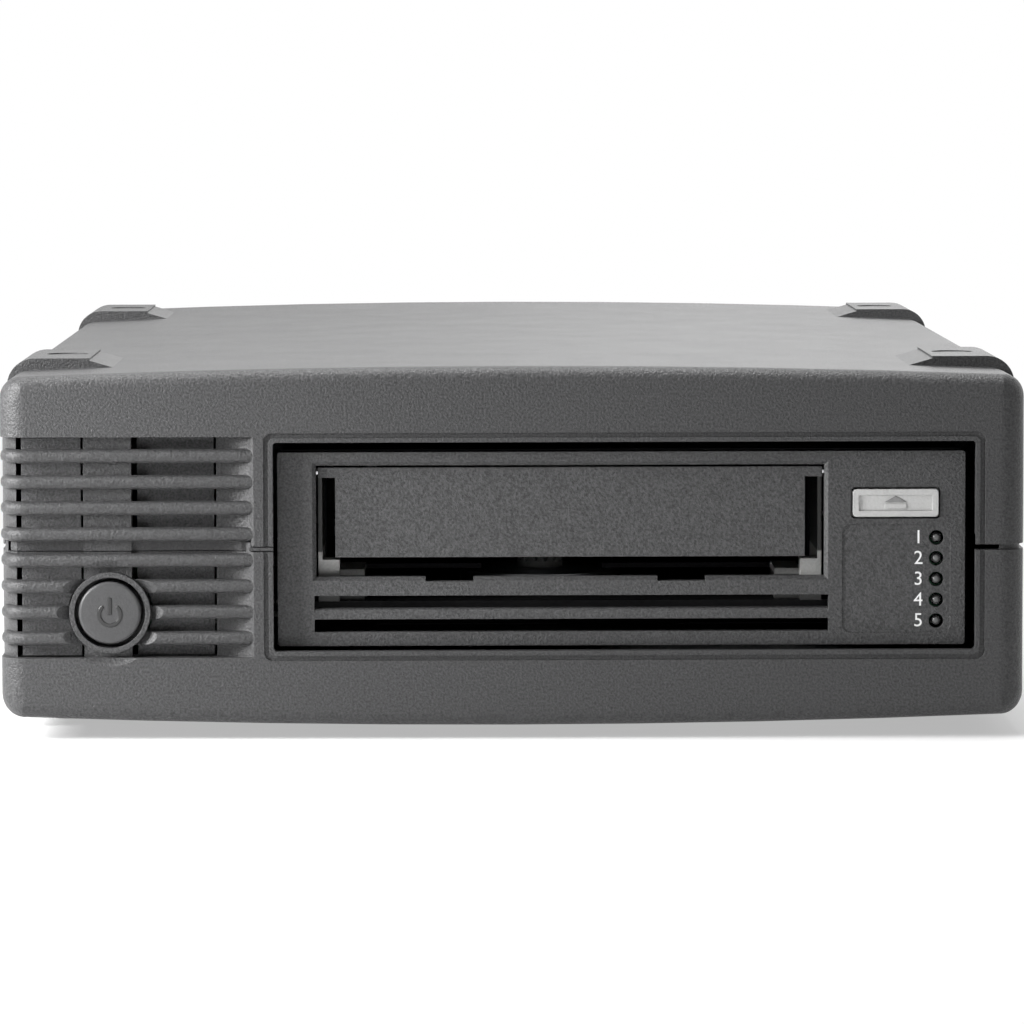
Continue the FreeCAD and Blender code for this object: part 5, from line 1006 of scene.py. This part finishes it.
@dataclass
class ChipLegs:
    """The flat legs along two sides of each chip."""

    wardrobe: Wardrobe
    groups: tuple[str, ...] = ("board_chips", "interface_chips")
    pitch: float = 1.27 * MM
    edge: float = 1.2 * MM
    reach: float = 1.1 * MM
    width: float = 0.45 * MM
    sheet: float = 0.2 * MM
    tallest: float = 3.0 * MM

    def build(self) -> None:
        """Make one piece of legs for each group of chips."""
        finish = self.wardrobe.made["contact_tin"]
        for group in self.groups:
            marks = [mark for corners in islands(group) for mark in self.side_marks(corners)]
            tree = self.leg_tree(f"{group}_leg_tree")
            mesh = tree.grow(f"{group}_legs", marks, finish)
            new_piece(f"{group}_legs", mesh, "case", finish)

    def side_marks(self, corners: list[Vector]) -> list[Mark]:
        """Where the legs of one chip stand, and which way they point.

        Args:
            corners: The corners of the chip's solid.

        Returns:
            The places and headings, or none if the part is too tall to be a chip.
        """
        low, high = limits(corners)
        if high.z - low.z > self.tallest:
            return []
        count = int((high.y - low.y - 2 * self.edge) / self.pitch) + 1
        start = (low.y + high.y) / 2 - self.pitch * (count - 1) / 2
        marks = []
        for x, heading in ((low.x, -1.0), (high.x, 1.0)):
            for step in range(count):
                marks.append((Vector((x, start + self.pitch * step, low.z)), Vector((heading, 0.0, 0.0))))
        return marks

    def leg_tree(self, name: str) -> ShapeTree:
        """The tree of one leg in two halves, whose Z axis points away from the chip.

        Args:
            name: The tree's name.

        Returns:
            The tree.
        """
        tree = ShapeTree(name, Reach=self.reach, Width=self.width, Sheet=self.sheet)
        reach, width, sheet = tree.cut("Reach"), tree.cut("Width"), tree.cut("Sheet")
        half = tree.calc(reach, 0.5)
        halves = [
            tree.moved(tree.bar(sheet, width, half), z=tree.calc(reach, middle))
            for middle in (0.25, 0.75)]
        tree.set_out(tree.together(*halves))
        return tree


@dataclass
class PowerCap:
    """The round power button: a cap with a rolled edge, and the plain power symbol raised on it."""

    wardrobe: Wardrobe
    edge: float = 0.7 * MM
    edge_steps: int = 8
    sides: int = 96
    smooth_angle: float = 40.0
    ring_drop: float = 0.35 * MM
    ring_radius: float = 2.3 * MM
    ring_width: float = 0.8 * MM
    ring_ends: Point = (128.0, 412.0)
    bar_high: float = 3.3 * MM
    bar_low: float = -0.4 * MM
    relief: float = 0.14 * MM
    bevel: float = 0.1 * MM
    cap_reach: float = 3.0 * MM
    flange_lip: float = 0.5 * MM
    stem_reach: float = 0.1 * MM

    def build(self) -> None:
        """Replace the plain button by the cap, its flange and stem, and its symbol."""
        finish = self.wardrobe.made["cap_plastic"]
        low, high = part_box("power_button")
        x, z = centre = ((low.x + high.x) / 2, (low.z + high.z) / 2)
        face = low.y
        shape = bmesh.new()
        rings = []
        for radius, level in self.profile(centre, face):
            angles = [math.tau * step / self.sides for step in range(self.sides)] if radius else [0.0]
            rings.append([
                shape.verts.new((x + radius * math.cos(angle), level, z + radius * math.sin(angle)))
                for angle in angles])
        for first, second in zip(rings, rings[1:]):
            for step in range(self.sides):
                after = (step + 1) % self.sides
                corners = [first[step % len(first)], first[after % len(first)]]
                corners += [second[after % len(second)], second[step % len(second)]]
                shape.faces.new(list(dict.fromkeys(corners)))
        bmesh.ops.recalc_face_normals(shape, faces=shape.faces)
        mesh = bpy.data.meshes.new("power_cap")
        shape.to_mesh(mesh)
        shape.free()
        mesh.shade_smooth()
        mesh.set_sharp_from_angle(angle=math.radians(self.smooth_angle))
        piece = new_piece("power_cap", mesh, "power", finish)
        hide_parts("power_button")
        self.symbol(centre, face)

    def profile(self, centre: Point, face: float) -> list[Point]:
        """The cap's profile from the middle of its face to the end of its stem.

        Args:
            centre: The cap's axis, across and up.
            face: The level of its face.

        Returns:
            Radii and levels.
        """
        corners = [(math.dist((c.x, c.z), centre), c.y) for c in islands("power_button")[0]]
        corners = sorted({(round(radius, 6), round(level, 6)) for radius, level in corners})
        cap = max(radius for radius, level in corners if level < face + self.cap_reach)
        flange = max(radius for radius, _ in corners)
        flange_levels = [level for radius, level in corners if radius > cap + self.flange_lip]
        near, far = min(flange_levels), max(flange_levels)
        end = max(level for _, level in corners)
        tip = [radius for radius, level in corners if level > end - self.stem_reach]
        stem = min(radius for radius in tip if radius > self.stem_reach)
        rolled = []
        for step in range(self.edge_steps + 1):
            angle = math.pi / 2 * step / self.edge_steps
            rolled.append((cap - self.edge * (1 - math.sin(angle)), face + self.edge * (1 - math.cos(angle))))
        skirt = [(cap, near), (flange, near), (flange, far), (stem, far), (stem, end), (0.0, end)]
        return [(0.0, face), (cap * 0.5, face), *rolled, *skirt]

    def symbol(self, centre: Point, face: float) -> None:
        """Raise the open ring and its bar on the cap.

        Args:
            centre: The cap's axis, across and up.
            face: The level of its face.
        """
        # The symbol wears the darkened case plastic, which is painted shade.
        finish = self.wardrobe.made["symbol_shaded_plastic"]
        ring = arc_band((0.0, -self.ring_drop), self.ring_radius, self.ring_width, *self.ring_ends)
        bar = rectangle(-self.ring_width / 2, self.ring_width / 2, self.bar_low, self.bar_high)
        place = facing(Axis.FRONT, (centre[0], face, centre[1]))
        mesh = bevelled(flat_mesh("power_symbol", [ring, bar], self.relief, place), self.bevel)
        new_piece("power_symbol", mesh, "power", finish)


@dataclass
class EjectCap:
    """The plain eject symbol, raised in the dish of the eject button."""

    wardrobe: Wardrobe
    dish: float = 0.3 * MM
    relief: float = 0.16 * MM
    half_width: float = 2.45 * MM
    arrow_low: float = 0.15 * MM
    arrow_high: float = 1.5 * MM
    bar_low: float = -1.25 * MM
    bar_share: float = 0.97
    arrow_bevel: float = 0.05 * MM
    bar_bevel: float = 0.08 * MM

    def build(self) -> None:
        """Raise the triangle and its bar."""
        low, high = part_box("eject_button")
        centre = ((low.x + high.x) / 2, (low.z + high.z) / 2)
        place = facing(Axis.FRONT, (centre[0], low.y + self.dish, centre[1]))
        half = self.half_width
        triangle = [(-half, self.arrow_low), (half, self.arrow_low), (0.0, self.arrow_high)]
        bar = rectangle(-half * self.bar_share, half * self.bar_share, self.bar_low, -self.arrow_low)
        arrow = bevelled(flat_mesh("eject_arrow", [triangle], self.relief, place), self.arrow_bevel)
        new_piece("eject_arrow", arrow, "eject", self.wardrobe.made["symbol_grey"])
        block = bevelled(flat_mesh("eject_bar", [bar], self.relief, place), self.bar_bevel)
        new_piece("eject_bar", block, "eject", self.wardrobe.made["button_plastic"])


@dataclass
class LampNumbers:
    """The plain lamp numbers, printed beside the lenses."""

    wardrobe: Wardrobe
    right: float = 88.4 * MM
    high: float = 2.9 * MM
    letter_share: float = 0.7
    recess: float = 0.2 * MM
    thickness: float = 0.03 * MM

    def build(self) -> None:
        """Number the lamps, the highest first."""
        ink = self.wardrobe.made["white_ink"]
        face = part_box("drive_bezel")[0].y + self.recess
        lenses = islands("indicator_lenses")
        levels = sorted(sum(corner.z for corner in corners) / len(corners) for corners in lenses)
        for count, level in enumerate(reversed(levels), 1):
            curve = bpy.data.curves.new("number_text", "FONT")
            curve.body = str(count)
            curve.align_x = "RIGHT"
            curve.align_y = "CENTER"
            curve.size = self.high / self.letter_share
            curve.extrude = self.thickness / 2
            curve.resolution_u = 4
            text = placed("number_text", curve)
            bpy.context.view_layer.update()
            mesh = bpy.data.meshes.new_from_object(text)
            bpy.data.objects.remove(text)
            mesh.transform(facing(Axis.FRONT, (self.right, face - self.thickness / 2, level)))
            new_piece(f"lamp_number_{count}", mesh, "case", ink)


@dataclass(frozen=True)
class Lamp:
    """A soft square lamp, with its place, what it points at, its width and its power in watts."""

    name: str
    spot: Spot
    aim: Spot
    size: float
    power: float


@dataclass
class Studio:
    """The pale floor, the soft lamps and the camera."""

    lamps: tuple[Lamp, ...] = (
        Lamp("key_lamp", (-0.34, -0.27, 0.17), (-0.03, -0.156, 0.04), 0.14, 3.3),
        Lamp("top_lamp", (-0.03, -0.1, 0.8), (0.0, -0.06, 0.08), 0.32, 7.5),
        Lamp("back_lamp", (0.5, 1.1, 0.9), (0.0, 0.1, 0.06), 1.4, 7.0),
    )
    floor_half: float = 30.0
    floor_thickness: float = 0.01
    floor_drop: float = 0.1 * MM
    floor_colour: Colour = (0.86, 0.86, 0.86)
    floor_white: float = 0.45
    fade_start: float = 0.2
    fade_end: float = 1.0
    surround: float = 0.06
    eye: Spot = (-12.0 * MM, -1311.0 * MM, 145.2 * MM)
    pitch: float = 4.762
    yaw: float = 0.589
    roll: float = 0.13
    lens: float = 190.30078125
    sensor: float = 36.0

    def build(self) -> None:
        """Make the floor, the lamps, the world and the camera."""
        self.make_floor()
        self.make_world()
        self.make_lamps()
        self.make_camera()

    def seen_directly(self, tree: NodeTree) -> Socket:
        """Whether a ray comes from the camera, a mirror or a glass, and so meets a white surround.

        Args:
            tree: The node tree.

        Returns:
            The answer's socket, 1 for yes.
        """
        path = tree.add("ShaderNodeLightPath").outputs
        direct = path["Is Camera Ray"]
        for name in ("Is Glossy Ray", "Is Transmission Ray"):
            direct = tree.calc(direct, path[name], "MAXIMUM")
        return direct

    def blend(self, tree: NodeTree, share: Socket, first: Socket, second: Socket, output: str) -> None:
        """Mix two shaders and send the result to the tree's output.

        Args:
            tree: The tree.
            share: The second shader's share.
            first: The first shader's socket.
            second: The second shader's socket.
            output: The output node's name.
        """
        mix = tree.add("ShaderNodeMixShader", Fac=share)
        tree.join(first, mix.inputs[1])
        tree.join(second, mix.inputs[2])
        tree.join(mix.outputs["Shader"], tree.tree.nodes[output].inputs["Surface"])

    def make_floor(self) -> None:
        """A wide pale floor just under the feet, which fades to white away from the drive."""
        place = facing(Axis.UP, (0.0, 0.0, -self.floor_thickness - self.floor_drop))
        outline = rectangle(-self.floor_half, self.floor_half, -self.floor_half, self.floor_half)
        mesh = flat_mesh("floor", [outline], self.floor_thickness, place)
        floor = placed("floor", mesh)
        nodes = Nodes("floor_paint")
        nodes.put("Base Color", self.floor_colour)
        nodes.put("Roughness", 0.9)
        nodes.put("Specular IOR Level", 0.1)
        reach = nodes.add("ShaderNodeVectorMath", {"operation": "LENGTH"})
        nodes.join(nodes.spots, reach.inputs[0])
        fade = nodes.add(
            "ShaderNodeMapRange", Value=reach.outputs["Value"], From_Min=self.fade_start,
            From_Max=self.fade_end, To_Min=self.floor_white)
        share = nodes.calc(self.seen_directly(nodes), fade.outputs["Result"])
        white = nodes.add("ShaderNodeEmission").outputs["Emission"]
        self.blend(nodes, share, nodes.shader.outputs["BSDF"], white, "Material Output")
        mesh.materials.append(nodes.material)

    def make_world(self) -> None:
        """A white surround for the camera and for reflections, and a softer one for light."""
        world = bpy.data.worlds.new("surround")
        bpy.context.scene.world = world
        world.use_nodes = True
        tree = NodeTree(world.node_tree)
        soft = tree.tree.nodes["Background"]
        tree.join(WHITE, soft.inputs["Color"])
        tree.join(self.surround, soft.inputs["Strength"])
        bright = tree.add("ShaderNodeBackground", Color=WHITE, Strength=1.0)
        share = self.seen_directly(tree)
        self.blend(tree, share, soft.outputs["Background"], bright.outputs["Background"], "World Output")

    def make_lamps(self) -> None:
        """A near lamp at the left of the front, one above the front, and a large one behind at the right."""
        for lamp in self.lamps:
            light = bpy.data.lights.new(lamp.name, "AREA")
            light.size = lamp.size
            light.energy = lamp.power
            holder = placed(lamp.name, light)
            holder.visible_camera = False
            holder.location = lamp.spot
            holder.rotation_euler = (Vector(lamp.aim) - Vector(lamp.spot)).to_track_quat("-Z", "Y").to_euler()

    def make_camera(self) -> None:
        """The camera, low in front of the drive and a little left of its middle."""
        camera = bpy.data.cameras.new("camera")
        camera.sensor_width = self.sensor
        camera.lens = self.lens
        camera.clip_end = 100.0
        holder = placed("camera", camera)
        holder.location = self.eye
        turn = Matrix.Rotation(math.radians(-self.yaw), 4, "Z")
        tilt = Matrix.Rotation(math.radians(90.0 - self.pitch), 4, "X")
        lean = Matrix.Rotation(math.radians(-self.roll), 4, "Z")
        holder.rotation_euler = (turn @ tilt @ lean).to_euler()
        bpy.context.scene.camera = holder


def main() -> None:
    """Dress the drive, add its small pieces and set up the studio."""
    logging.basicConfig(level=logging.INFO, format="%(name)s: %(message)s")
    view = bpy.context.scene.view_settings
    view.view_transform = "Standard"
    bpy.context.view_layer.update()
    Studio().build()
    wardrobe = Wardrobe()
    wardrobe.dress()
    for sub_assembly in (Fasteners, IndicatorLamps, ChipLegs, PowerCap, EjectCap, LampNumbers):
        sub_assembly(wardrobe).build()


if __name__ == "__main__":
    main()
